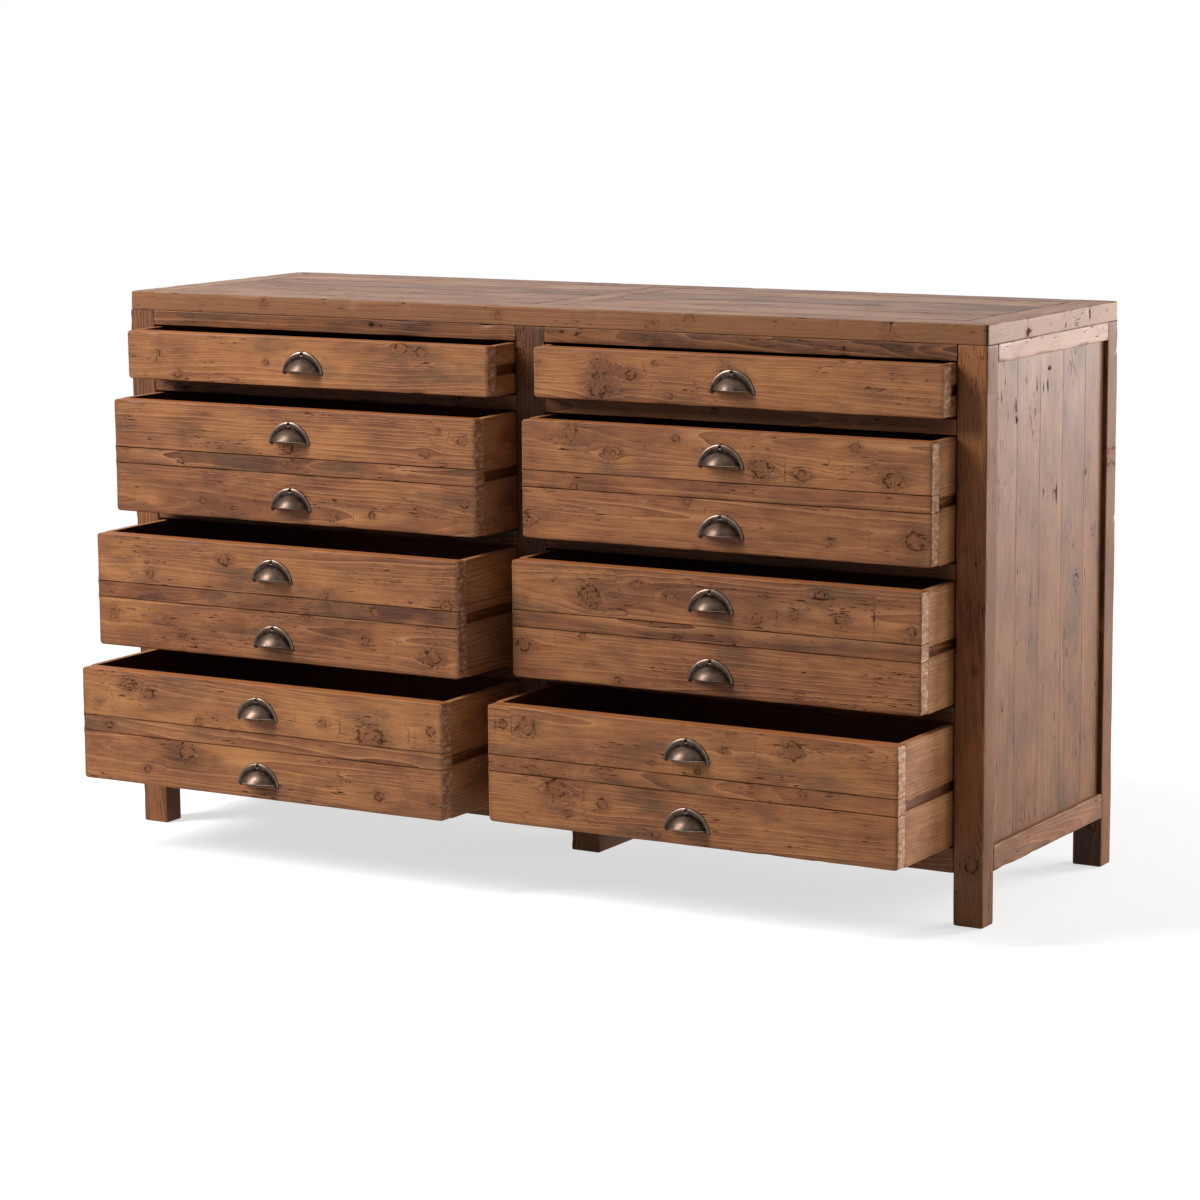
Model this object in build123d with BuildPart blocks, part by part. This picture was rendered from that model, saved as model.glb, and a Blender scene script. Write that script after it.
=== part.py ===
from build123d import *
import os
from math import sqrt

# A floor-standing apothecary chest of reclaimed pine: two columns of four drawers in a post-and-rail
# carcass. Millimetres. X runs to the right, Y to the back, Z up. The origin is on the floor under the
# middle of the carcass, at the centre of the small middle foot. Drawers stand partly open, as used.

# Carcass sizes
chest_width = 1600
chest_depth = 505
foot_clearance = 82
top_thickness = 31
post_width = 50
post_depth = 40
centre_post_width = 54

# Drawer openings and the front rails between them
deep_opening = 195
shallow_opening = 87
rail_height = 25
top_rail_height = 25
bottom_rail_height = 39
rail_depth = 30

# Side and back frames with their planks
side_rail_thickness = 25
side_top_rail_height = 29
side_bottom_rail_height = 41
plank_thickness = 14
plank_recess = 8
side_plank_width = 88
back_plank_count = 8
plank_seam = 0.4
plank_chamfer = 1.2

# Joints in the carcass: mortise and tenon on the front rails, tongue and groove everywhere else
tenon_length = 15
tenon_thickness = 12
tenon_shoulder = 5
groove_depth = 8
joint_gap = 0.2
groove_end_gap = 0.5

# Top: a mitred frame with a cross board and two fields of planks
frame_board_width = 60
cross_board_width = 54
top_plank_thickness = 20
top_plank_count = 4
top_plank_chamfer = 0.6
tongue_thickness = 6
top_corner_radius = 4
top_edge_chamfer = 2

# Middle foot under the bearer
foot_length = 183

# Eased edges
post_edge_radius = 3
rail_edge_chamfer = 1.5
front_corner_radius = 5
front_edge_chamfer = 2.5

# Drawers: solid fronts, thin sides, grooved to hang on side runners
front_thickness = 25
front_gap = 3
upper_board_height = 80
strip_height = 27
drawer_length = 460
side_thickness = 12
back_thickness = 12
bottom_thickness = 6
bottom_height = 10
bottom_housing = 5
back_housing = 4
back_inset = 8
back_drop = 3

# Runners and their grooves
runner_groove_height = 17
runner_groove_depth = 6
runner_groove_stop = 2
runner_play = 1
runner_side_gap = 0.5
running_gap = 0.3
closing_gap = 1
nose_ease = 1.3

# Cup pulls
pull_radius = 41
flange_thickness = 2
ear_radius = 4.5
ear_level = 7
cup_radius = 39
cup_depth = 29
cup_centre_drop = 9.5
cup_wall = 1.8
cup_rim = 8.5
cup_rings = (0, 0.42, 0.76, 0.97)
cup_inner_rings = (0, 0.5, 0.95)
pull_facets = 24
ear_facets = 8
pull_spacing = 109

# How far each drawer stands open, row 1 at the top
open_distance = {
    ("left", 1): 79,
    ("left", 2): 120,
    ("left", 3): 177,
    ("left", 4): 227,
    ("right", 1): 39,
    ("right", 2): 77,
    ("right", 3): 111,
    ("right", 4): 188,
}

# Levels worked out from the floor up
row_openings = {1: shallow_opening, 2: deep_opening, 3: deep_opening, 4: deep_opening}
row_floor = {4: foot_clearance + bottom_rail_height}
for row in (3, 2, 1):
    row_floor[row] = row_floor[row + 1] + row_openings[row + 1] + rail_height
row_ceiling = {row: row_floor[row] + row_openings[row] for row in row_openings}
carcass_top = row_ceiling[1] + top_rail_height
chest_height = carcass_top + top_thickness

# Plan positions
half_width = chest_width / 2
half_depth = chest_depth / 2
opening_width = half_width - post_width - centre_post_width / 2
post_inner_x = half_width - post_width
column_centre_x = (post_inner_x + centre_post_width / 2) / 2
front_post_back_y = -half_depth + post_depth
rear_post_front_y = half_depth - post_depth
side_plank_x = half_width - plank_recess - plank_thickness / 2
back_plank_y = half_depth - plank_recess - plank_thickness / 2
panel_length = rear_post_front_y - front_post_back_y
side_panel_floor = foot_clearance + side_bottom_rail_height
side_panel_ceiling = carcass_top - side_top_rail_height
tongue_length = groove_depth - groove_end_gap
runner_height = runner_groove_height - runner_play
runner_reach = front_gap + runner_groove_depth - runner_side_gap
nose_chamfer = runner_groove_height / 2 - closing_gap - nose_ease
column_side = {"left": -1, "right": 1}


def write(piece, name):
    """Label a finished piece and write it under its node name."""
    piece.part.label = name
    export_step(piece.part, f"parts/{name}.step")


def block(x_range, y_range, z_range, mode=Mode.ADD):
    """A square-cut length of timber between three pairs of faces, in the part being built."""
    (x0, x1), (y0, y1), (z0, z1) = x_range, y_range, z_range
    with BuildSketch(Plane.XY.offset(min(z0, z1))) as section:
        with Locations(((x0 + x1) / 2, (y0 + y1) / 2)):
            Rectangle(abs(x1 - x0), abs(y1 - y0))
    extrude(section.sketch, amount=abs(z1 - z0), mode=mode)


def rail_levels():
    """Lower and upper faces of the front rails that meet the posts with tenons, bottom to top."""
    between = [(row_ceiling[row], row_floor[row - 1]) for row in (4, 3, 2)]
    return between + [(row_ceiling[1], carcass_top)]


def cut_rail_mortises(face_x, inward, levels):
    """Mortises for the front rails in a post face at face_x, cut in the direction inward."""
    middle_y = -half_depth + rail_depth / 2
    for low, high in levels:
        depth = tenon_length + groove_end_gap
        block(
            (face_x, face_x + inward * depth),
            (middle_y - tenon_thickness / 2 - joint_gap, middle_y + tenon_thickness / 2 + joint_gap),
            (low + tenon_shoulder - joint_gap, high - tenon_shoulder + joint_gap),
            mode=Mode.SUBTRACT,
        )


def add_rail(x_range, low, high):
    """A front rail between two post faces, with a shouldered tenon at each end."""
    x0, x1 = x_range
    middle_y = -half_depth + rail_depth / 2
    block((x0, x1), (-half_depth, -half_depth + rail_depth), (low, high))
    block(
        (x0 - tenon_length, x1 + tenon_length),
        (middle_y - tenon_thickness / 2, middle_y + tenon_thickness / 2),
        (low + tenon_shoulder, high - tenon_shoulder),
    )


def corner_post(side, end):
    """A corner post that runs down as a leg, grooved for the side planks and, behind, the back planks.

    side is -1 for left and 1 for right; end is -1 for front and 1 for back.
    """
    post_face_y = end * (half_depth - post_depth)
    with BuildPart() as post:
        with BuildSketch():
            with Locations((side * (half_width - post_width / 2), end * (half_depth - post_depth / 2))):
                RectangleRounded(post_width, post_depth, post_edge_radius)
        extrude(amount=carcass_top)
        block(
            (side * (side_plank_x - plank_thickness / 2), side * (side_plank_x + plank_thickness / 2)),
            (post_face_y, post_face_y + end * groove_depth),
            (foot_clearance, carcass_top),
            mode=Mode.SUBTRACT,
        )
        if end > 0:
            block(
                (side * post_inner_x, side * (post_inner_x + groove_depth)),
                (back_plank_y - plank_thickness / 2, back_plank_y + plank_thickness / 2),
                (foot_clearance, carcass_top),
                mode=Mode.SUBTRACT,
            )
        else:
            bottom_rail_level = (foot_clearance, foot_clearance + bottom_rail_height)
            cut_rail_mortises(side * post_inner_x, side, [bottom_rail_level] + rail_levels())
    return post


def front_centre_post():
    """The middle post of the front: it stands on the bottom rail and is mortised from both sides."""
    half = centre_post_width / 2
    with BuildPart() as post:
        block((-half, half), (-half_depth, front_post_back_y), (row_floor[4], carcass_top))
        chamfer(post.edges().filter_by(Axis.Z).group_by(Axis.Y)[0], length=rail_edge_chamfer)
        for side in (-1, 1):
            cut_rail_mortises(side * half, -side, rail_levels())
        block(
            (-plank_thickness / 2, plank_thickness / 2),
            (front_post_back_y - groove_depth, front_post_back_y),
            (row_floor[4], carcass_top),
            mode=Mode.SUBTRACT,
        )
    return post


def back_centre_post():
    """The middle post of the back, between the back rails, grooved for planks on three faces."""
    half = centre_post_width / 2
    levels = (row_floor[4], carcass_top - top_rail_height)
    with BuildPart() as post:
        block((-half, half), (rear_post_front_y, half_depth), levels)
        for side in (-1, 1):
            block(
                (side * half, side * (half - groove_depth)),
                (back_plank_y - plank_thickness / 2, back_plank_y + plank_thickness / 2),
                levels,
                mode=Mode.SUBTRACT,
            )
        block(
            (-plank_thickness / 2, plank_thickness / 2),
            (rear_post_front_y, rear_post_front_y + groove_depth),
            levels,
            mode=Mode.SUBTRACT,
        )
    return post


def ease_rails(rails):
    """Ease the long front edges of the rails, where the planed timber has worn."""
    front_faces = rails.faces().filter_by(Axis.Y).group_by(Axis.Y)[0]
    long_edges = front_faces.edges().filter_by(Axis.X)
    chamfer(long_edges, length=rail_edge_chamfer)


def front_rails():
    """The six rails between the drawers."""
    with BuildPart() as rails:
        for side in (-1, 1):
            ends = sorted((side * centre_post_width / 2, side * post_inner_x))
            for low, high in rail_levels()[:-1]:
                add_rail(ends, low, high)
        ease_rails(rails)
    return rails


def front_top_rails():
    """The two rails under the top, one over each column."""
    with BuildPart() as rails:
        for side in (-1, 1):
            ends = sorted((side * centre_post_width / 2, side * post_inner_x))
            add_rail(ends, row_ceiling[1], carcass_top)
        ease_rails(rails)
    return rails


def front_bottom_rail():
    """The one long rail between the front legs, which carries the front centre post."""
    with BuildPart() as rail:
        add_rail((-post_inner_x, post_inner_x), foot_clearance, row_floor[4])
        ease_rails(rail)
    return rail


def side_rails(side):
    """Top and bottom rails of one side, tongued into the posts and grooved for the planks."""
    inner_x = half_width - side_rail_thickness
    tongue_x = (side * (side_plank_x - plank_thickness / 2), side * (side_plank_x + plank_thickness / 2))
    with BuildPart() as rails:
        for low, high, groove_edge, into in (
            (foot_clearance, side_panel_floor, side_panel_floor, -1),
            (side_panel_ceiling, carcass_top, side_panel_ceiling, 1),
        ):
            block((side * inner_x, side * half_width), (front_post_back_y, rear_post_front_y), (low, high))
            block(
                tongue_x,
                (front_post_back_y - tongue_length, rear_post_front_y + tongue_length),
                (low, high),
            )
            block(
                tongue_x,
                (front_post_back_y - groove_depth, rear_post_front_y + groove_depth),
                (groove_edge, groove_edge + into * groove_depth),
                mode=Mode.SUBTRACT,
            )
        outer_face = rails.faces().filter_by(Axis.X).sort_by(Axis.X)[:: -side][:2]
        chamfer(outer_face.edges().filter_by(Axis.Y), length=rail_edge_chamfer)
    return rails


def plank_cuts(start, stop, pitch, count):
    """Pairs of plank edges along one direction: the first and last planks run on into their grooves."""
    seams = [start + number * pitch for number in range(1, count)]
    lows = [start - tongue_length] + [seam + plank_seam / 2 for seam in seams]
    highs = [seam - plank_seam / 2 for seam in seams] + [stop + tongue_length]
    return list(zip(lows, highs))


def side_plank_count():
    """As many planks as it takes to cross the side, the last one cut narrower."""
    whole = int(panel_length // side_plank_width)
    return whole + (1 if panel_length - whole * side_plank_width > plank_seam else 0)


def side_planks(side):
    """The upright planks of one side, set back from the frame and housed in its grooves."""
    low, high = side_panel_floor - tongue_length, side_panel_ceiling + tongue_length
    cuts = plank_cuts(front_post_back_y, rear_post_front_y, side_plank_width, side_plank_count())
    with BuildPart() as planks:
        with BuildSketch(Plane.XY.offset(low)) as section:
            for y0, y1 in cuts:
                with Locations((side * side_plank_x, (y0 + y1) / 2)):
                    Rectangle(plank_thickness, y1 - y0)
            chamfer(section.vertices().group_by(Axis.X)[-1 if side > 0 else 0], length=plank_chamfer)
        extrude(amount=high - low)
    return planks


def back_planks():
    """The upright planks of the back, in two fields beside the back centre post."""
    low = row_floor[4] - tongue_length
    high = carcass_top - top_rail_height + tongue_length
    pitch = opening_width / back_plank_count
    half = centre_post_width / 2
    with BuildPart() as planks:
        with BuildSketch(Plane.XY.offset(low)) as section:
            for start, stop in ((-post_inner_x, -half), (half, post_inner_x)):
                for x0, x1 in plank_cuts(start, stop, pitch, back_plank_count):
                    with Locations(((x0 + x1) / 2, back_plank_y)):
                        Rectangle(x1 - x0, plank_thickness)
            chamfer(section.vertices().group_by(Axis.Y)[-1], length=plank_chamfer)
        extrude(amount=high - low)
    return planks


def back_rails():
    """Top and bottom rails of the back, tongued into the rear posts and grooved for the planks."""
    tongue_y = (back_plank_y - plank_thickness / 2, back_plank_y + plank_thickness / 2)
    top_rail_floor = carcass_top - top_rail_height
    inner_y = half_depth - side_rail_thickness
    with BuildPart() as rails:
        for low, high, groove_edge, into in (
            (foot_clearance, row_floor[4], row_floor[4], -1),
            (top_rail_floor, carcass_top, top_rail_floor, 1),
        ):
            block((-post_inner_x, post_inner_x), (inner_y, half_depth), (low, high))
            block((-post_inner_x - tongue_length, post_inner_x + tongue_length), tongue_y, (low, high))
            block(
                (-post_inner_x - groove_depth, post_inner_x + groove_depth),
                tongue_y,
                (groove_edge, groove_edge + into * groove_depth),
                mode=Mode.SUBTRACT,
            )
    return rails


def centre_partition():
    """Upright planks between the two centre posts: the wall that carries the inner runners."""
    cuts = plank_cuts(front_post_back_y, rear_post_front_y, side_plank_width, side_plank_count())
    with BuildPart() as partition:
        with BuildSketch(Plane.XY.offset(row_floor[4])):
            for y0, y1 in cuts:
                with Locations((0, (y0 + y1) / 2)):
                    Rectangle(plank_thickness, y1 - y0)
        extrude(amount=carcass_top - row_floor[4])
    return partition


def base_bearer():
    """The bearer under the partition, from the front bottom rail to the back one."""
    half = centre_post_width / 2
    with BuildPart() as bearer:
        block(
            (-half, half),
            (-half_depth + rail_depth, half_depth - side_rail_thickness),
            (foot_clearance, row_floor[4]),
        )
    return bearer


def centre_foot():
    """The small middle foot, set back under the bearer."""
    with BuildPart() as foot:
        with BuildSketch():
            RectangleRounded(centre_post_width, foot_length, post_edge_radius)
        extrude(amount=foot_clearance)
    return foot


def drawer_level(row):
    """Underside and top of a drawer's front in its opening."""
    return row_floor[row] + front_gap, row_ceiling[row] - front_gap


def runner_groove_top(row):
    """Upper face of the groove in a drawer's sides, which rides on the runner."""
    low, high = drawer_level(row)
    return (low + high) / 2 + runner_groove_height / 2


def drawer_runners():
    """Two runners for each drawer: rebated bars screwed to the frame, with a blunted nose in front.

    A bar fills the space from the planks to its running face between the posts, and only its thin
    tongue passes in front of the post. The nose is the closing stop in the groove's round end.
    """
    nose_y = -half_depth + front_thickness + runner_groove_stop + closing_gap
    with BuildPart() as runners:
        for side in (-1, 1):
            for post_x, wall_x, inward in (
                (post_inner_x, side_plank_x - plank_thickness / 2, -1),
                (centre_post_width / 2, plank_thickness / 2, 1),
            ):
                running_x = post_x + inward * runner_reach
                for row in row_openings:
                    top = runner_groove_top(row) - running_gap
                    with BuildSketch(Plane.XY.offset(top - runner_height)):
                        with BuildLine():
                            Polyline(
                                (side * running_x, nose_y),
                                (side * running_x, rear_post_front_y),
                                (side * wall_x, rear_post_front_y),
                                (side * wall_x, front_post_back_y),
                                (side * post_x, front_post_back_y),
                                (side * post_x, nose_y),
                                close=True,
                            )
                        make_face()
                    extrude(amount=runner_height)
        nose_edges = runners.edges().filter_by(Axis.X).group_by(Axis.Y)[0]
        chamfer(nose_edges, length=nose_chamfer)
    return runners


def top_field(side):
    """Plan rectangle of one plank field of the top, between the frame boards and the cross board."""
    inner_x = sorted((side * cross_board_width / 2, side * (half_width - frame_board_width)))
    inner_y = (-half_depth + frame_board_width, half_depth - frame_board_width)
    return inner_x, inner_y


def tongue_levels():
    """Lower and upper faces of the tongue round each plank field."""
    low = chest_height - (top_plank_thickness + tongue_thickness) / 2
    return low, low + tongue_thickness


def cut_tongue_grooves(field_side):
    """The groove that receives a plank field's tongue, cut round the field."""
    (x0, x1), (y0, y1) = top_field(field_side)
    block(
        (x0 - groove_depth, x1 + groove_depth),
        (y0 - groove_depth, y1 + groove_depth),
        tongue_levels(),
        mode=Mode.SUBTRACT,
    )


def top_frame_board(corners):
    """One mitred board of the top's frame, from the four corners of its plan."""
    with BuildPart() as board:
        with BuildSketch(Plane.XY.offset(carcass_top)):
            with BuildLine():
                Polyline(*corners, close=True)
            make_face()
            RectangleRounded(chest_width, chest_depth, top_corner_radius, mode=Mode.INTERSECT)
        extrude(amount=top_thickness)
        top_edges = board.faces().sort_by(Axis.Z)[-1].edges()
        outer_edges = [
            edge
            for edge in top_edges
            if abs(edge.center().X) > half_width - top_corner_radius
            or abs(edge.center().Y) > half_depth - top_corner_radius
        ]
        chamfer(outer_edges, length=top_edge_chamfer)
        for side in (-1, 1):
            cut_tongue_grooves(side)
    return board


def top_cross_board():
    """The cross board between the two plank fields, between the front and back boards."""
    half = cross_board_width / 2
    inner_y = half_depth - frame_board_width
    with BuildPart() as board:
        block((-half, half), (-inner_y, inner_y), (carcass_top, chest_height))
        for side in (-1, 1):
            cut_tongue_grooves(side)
    return board


def top_planks(side):
    """One field of lengthwise planks, level with the frame, with a tongue all round the field."""
    (x0, x1), (y0, y1) = top_field(side)
    pitch = (y1 - y0) / top_plank_count
    with BuildPart() as planks:
        for number in range(top_plank_count):
            low = y0 + number * pitch + (plank_seam / 2 if number > 0 else 0)
            high = y0 + (number + 1) * pitch - (plank_seam / 2 if number < top_plank_count - 1 else 0)
            block((x0, x1), (low, high), (chest_height - top_plank_thickness, chest_height))
            tongue_low = low - (tongue_length if number == 0 else 0)
            tongue_high = high + (tongue_length if number == top_plank_count - 1 else 0)
            block((x0 - tongue_length, x1 + tongue_length), (tongue_low, tongue_high), tongue_levels())
        upper_faces = planks.faces().filter_by(Axis.Z).group_by(Axis.Z)[-1]
        chamfer(upper_faces.edges().filter_by(Axis.X), length=top_plank_chamfer)
    return planks


def drawer_plan(column, row):
    """Outer X faces of a drawer and the Y of its front face, as it stands open."""
    side = column_side[column]
    half = opening_width / 2 - front_gap
    x_range = (side * column_centre_x - half, side * column_centre_x + half)
    return x_range, -half_depth - open_distance[column, row]


def seam_levels(row):
    """Heights of the seams in a drawer front: none if shallow, two beside the narrow board if deep."""
    if row_openings[row] == shallow_opening:
        return []
    upper_seam = drawer_level(row)[1] - upper_board_height
    return [upper_seam, upper_seam - strip_height]


def drawer_front(column, row):
    """The solid front, worn round at its rim, with a groove behind for the drawer bottom.

    A deep front is three boards edge to edge, and a fine open seam keeps them apart.
    """
    (x0, x1), face_y = drawer_plan(column, row)
    low, high = drawer_level(row)
    back_y = face_y + front_thickness
    with BuildPart() as front:
        with BuildSketch(Plane.XZ.offset(-back_y)):
            with Locations(((x0 + x1) / 2, (low + high) / 2)):
                RectangleRounded(x1 - x0, high - low, front_corner_radius)
        extrude(amount=front_thickness)
        rim = front.faces().sort_by(Axis.Y)[0].edges()
        chamfer(rim, length=front_edge_chamfer)
        block(
            (x0 + side_thickness - bottom_housing, x1 - side_thickness + bottom_housing),
            (back_y - bottom_housing, back_y),
            (low + bottom_height, low + bottom_height + bottom_thickness + joint_gap),
            mode=Mode.SUBTRACT,
        )
        for seam in seam_levels(row):
            block(
                (x0, x1),
                (face_y, back_y),
                (seam - plank_seam / 2, seam + plank_seam / 2),
                mode=Mode.SUBTRACT,
            )
    return front


def drawer_box(column, row):
    """The two sides, grooved outside for the runners, and the back housed between them."""
    (x0, x1), face_y = drawer_plan(column, row)
    low, high = drawer_level(row)
    start_y = face_y + front_thickness
    end_y = face_y + drawer_length
    back_range = (end_y - back_inset - back_thickness, end_y - back_inset)
    bottom_top = low + bottom_height + bottom_thickness + joint_gap
    groove_radius = runner_groove_height / 2
    groove_middle = runner_groove_top(row) - groove_radius
    groove_start = start_y + runner_groove_stop + groove_radius
    with BuildPart() as box:
        for outer_x, inward in ((x0, 1), (x1, -1)):
            inner_x = outer_x + inward * side_thickness
            block((outer_x, inner_x), (start_y, end_y), (low, high))
            with BuildSketch(Plane.YZ.offset(outer_x)) as runner_groove:
                with Locations(((groove_start + end_y) / 2, groove_middle)):
                    Rectangle(end_y - groove_start, runner_groove_height)
                with Locations((groove_start, groove_middle)):
                    Circle(groove_radius)
            extrude(runner_groove.sketch, amount=inward * runner_groove_depth, mode=Mode.SUBTRACT)
            block(
                (inner_x, inner_x - inward * bottom_housing),
                (start_y, end_y),
                (low + bottom_height, bottom_top),
                mode=Mode.SUBTRACT,
            )
            block(
                (inner_x, inner_x - inward * back_housing),
                (back_range[0] - joint_gap, back_range[1] + joint_gap),
                (bottom_top, high),
                mode=Mode.SUBTRACT,
            )
        housed = side_thickness - back_housing + joint_gap
        block((x0 + housed, x1 - housed), back_range, (bottom_top, high - back_drop))
    return box


def drawer_bottom(column, row):
    """The thin bottom, slid in from behind under the back, in the grooves of sides and front."""
    (x0, x1), face_y = drawer_plan(column, row)
    low, _ = drawer_level(row)
    housed = side_thickness - bottom_housing + joint_gap
    with BuildPart() as bottom:
        block(
            (x0 + housed, x1 - housed),
            (face_y + front_thickness - bottom_housing + joint_gap, face_y + drawer_length),
            (low + bottom_height, low + bottom_height + bottom_thickness),
        )
    return bottom


def cup_section(depth, inset):
    """Radius of the cup's ball, less inset all round, at a depth in front of the drawer's face."""
    ball_radius = (cup_radius**2 + cup_depth**2) / (2 * cup_depth)
    behind_face = ball_radius - cup_depth
    return sqrt((ball_radius - inset) ** 2 - (behind_face + depth) ** 2)


def add_cup(depths, inset, mode=Mode.ADD):
    """The cup's ball as flat facets between rings at the given depths in front of the drawer's face."""
    points = []
    for depth in depths:
        for number in range(pull_facets):
            around = Vector(cup_section(depth, inset), 0, 0).rotate(Axis.Y, number * 360 / pull_facets)
            points.append(around + Vector(0, -depth, -cup_centre_drop))
    ConvexPolyhedron(points, mode=mode)


def cup_pull():
    """One cup pull: a flat arched flange with rounded ears and a ball-shaped cup, open below.

    It stands at its own origin, with the drawer's face at Y 0 and the centre of the arch at Z 0.
    The cup is the upper part of a ball whose middle lies cup_centre_drop below that centre. The ball
    springs from the face at cup_radius and stands cup_depth out from it.
    """
    reach = 2 * pull_radius
    ear_x = pull_radius - ear_radius
    with BuildPart() as pull:
        add_cup([share * cup_depth for share in cup_rings], 0)
        block((-reach, reach), (-reach, reach), (-reach, cup_rim), mode=Mode.SUBTRACT)
        with BuildSketch(Plane.XZ) as flange:
            RegularPolygon(pull_radius, pull_facets)
            with Locations((0, ear_level - reach / 2)):
                Rectangle(2 * reach, reach, mode=Mode.SUBTRACT)
        extrude(flange.sketch, amount=flange_thickness)
        inner_depth = cup_depth - cup_wall
        add_cup([share * inner_depth for share in cup_inner_rings], cup_wall, mode=Mode.SUBTRACT)
        with BuildSketch(Plane.XZ) as ears:
            with Locations((ear_x, ear_level), (-ear_x, ear_level)):
                RegularPolygon(ear_radius, ear_facets)
        extrude(ears.sketch, amount=flange_thickness)
    return pull


def drawer_pulls(pull, column, row):
    """The pulls of one drawer: one in the middle of a shallow front, two above each other if deep."""
    (x0, x1), face_y = drawer_plan(column, row)
    low, high = drawer_level(row)
    arch_centre = (low + high) / 2 - (pull_radius + ear_level - ear_radius) / 2
    shallow = row_openings[row] == shallow_opening
    offsets = (0,) if shallow else (-pull_spacing / 2, pull_spacing / 2)
    places = [((x0 + x1) / 2, face_y, arch_centre + offset) for offset in offsets]
    with BuildPart() as pulls:
        with Locations(*places):
            add(pull.part)
    return pulls


os.makedirs("parts", exist_ok=True)

for side_name, side in column_side.items():
    write(corner_post(side, -1), f"post_front_{side_name}")
    write(corner_post(side, 1), f"post_back_{side_name}")
    write(side_rails(side), f"side_rails_{side_name}")
    write(side_planks(side), f"side_planks_{side_name}")
    write(top_planks(side), f"top_planks_{side_name}")

write(front_centre_post(), "post_front_centre")
write(back_centre_post(), "post_back_centre")
write(front_top_rails(), "front_top_rails")
write(front_rails(), "front_rails")
write(front_bottom_rail(), "front_bottom_rail")
write(back_rails(), "back_rails")
write(back_planks(), "back_planks")
write(centre_partition(), "centre_partition")
write(base_bearer(), "base_bearer")
write(centre_foot(), "centre_foot")
write(drawer_runners(), "drawer_runners")
write(top_cross_board(), "top_cross_board")

inset_x = half_width - frame_board_width
inset_y = half_depth - frame_board_width
for direction, end in (("front", -1), ("back", 1)):
    corners = (
        (-half_width, end * half_depth),
        (half_width, end * half_depth),
        (inset_x, end * inset_y),
        (-inset_x, end * inset_y),
    )
    write(top_frame_board(corners), f"top_{direction}_board")
for side_name, side in column_side.items():
    corners = (
        (side * half_width, -half_depth),
        (side * half_width, half_depth),
        (side * inset_x, inset_y),
        (side * inset_x, -inset_y),
    )
    write(top_frame_board(corners), f"top_{side_name}_board")

pull = cup_pull()
for column, row in open_distance:
    drawer = f"drawer_{column}_{row}"
    write(drawer_front(column, row), f"{drawer}_front")
    write(drawer_box(column, row), f"{drawer}_box")
    write(drawer_bottom(column, row), f"{drawer}_bottom")
    write(drawer_pulls(pull, column, row), f"{drawer}_pulls")

print("overall", chest_width, chest_depth, chest_height, "openings", row_floor)
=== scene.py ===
# %% [markdown]
# # A low apothecary chest in old sawn pine
#
# The real chest is a frame of posts and rails with boards set into it, eight drawers on side
# runners and cast cup pulls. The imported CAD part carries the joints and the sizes. This lesson
# dresses it: each timber is rebuilt as a slightly worn board whose grain, knots and edges belong
# to that board, and each pull as a thin cast shell.

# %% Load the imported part
import functools
import math

import bpy
import numpy as np
from mathutils import Matrix, Vector


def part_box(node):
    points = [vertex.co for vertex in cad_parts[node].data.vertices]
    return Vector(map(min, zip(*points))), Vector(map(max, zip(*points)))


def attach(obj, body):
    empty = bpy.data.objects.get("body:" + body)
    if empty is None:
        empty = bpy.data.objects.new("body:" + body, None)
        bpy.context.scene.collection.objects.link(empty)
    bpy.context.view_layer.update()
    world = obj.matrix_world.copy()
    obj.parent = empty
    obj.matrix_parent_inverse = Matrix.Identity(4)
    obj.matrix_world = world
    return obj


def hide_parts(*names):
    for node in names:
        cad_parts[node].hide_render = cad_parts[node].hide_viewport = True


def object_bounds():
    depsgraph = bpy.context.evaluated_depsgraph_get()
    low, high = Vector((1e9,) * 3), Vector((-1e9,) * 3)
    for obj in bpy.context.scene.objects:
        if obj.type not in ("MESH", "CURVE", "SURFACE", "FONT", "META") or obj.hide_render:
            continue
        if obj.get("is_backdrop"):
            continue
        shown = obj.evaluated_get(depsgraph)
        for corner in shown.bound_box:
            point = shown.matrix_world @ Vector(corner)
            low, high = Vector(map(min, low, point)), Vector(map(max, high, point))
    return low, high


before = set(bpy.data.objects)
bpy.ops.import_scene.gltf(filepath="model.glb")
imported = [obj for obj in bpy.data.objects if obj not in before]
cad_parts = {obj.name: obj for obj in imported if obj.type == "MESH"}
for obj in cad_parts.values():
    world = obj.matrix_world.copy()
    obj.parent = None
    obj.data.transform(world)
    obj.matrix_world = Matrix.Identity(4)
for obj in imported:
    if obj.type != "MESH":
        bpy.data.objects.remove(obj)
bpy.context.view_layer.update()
MM = 0.001

# %% [markdown]
# ## The skin of a board
#
# A planed board is a box whose edges have gone round with use, more in some places than in
# others. A beveled cube would have the same edge everywhere, so the surface is worked out
# instead: a lattice of points lies on the box, close together near its edges.

# %% Lattice of a box
ARC_SHARES = np.array([0.0, 0.423, 0.732])


def stations(low, high, ease_low, ease_high, step):
    """Positions along one edge: three over each eased corner, then evenly spaced by about step."""
    count = max(2, int(round((high - low) / step)) + 1)
    inner = np.linspace(low + ease_low, high - ease_high, count)
    return np.concatenate(
        [low + ARC_SHARES * ease_low, inner, high - ARC_SHARES[::-1] * ease_high]
    )


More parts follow.
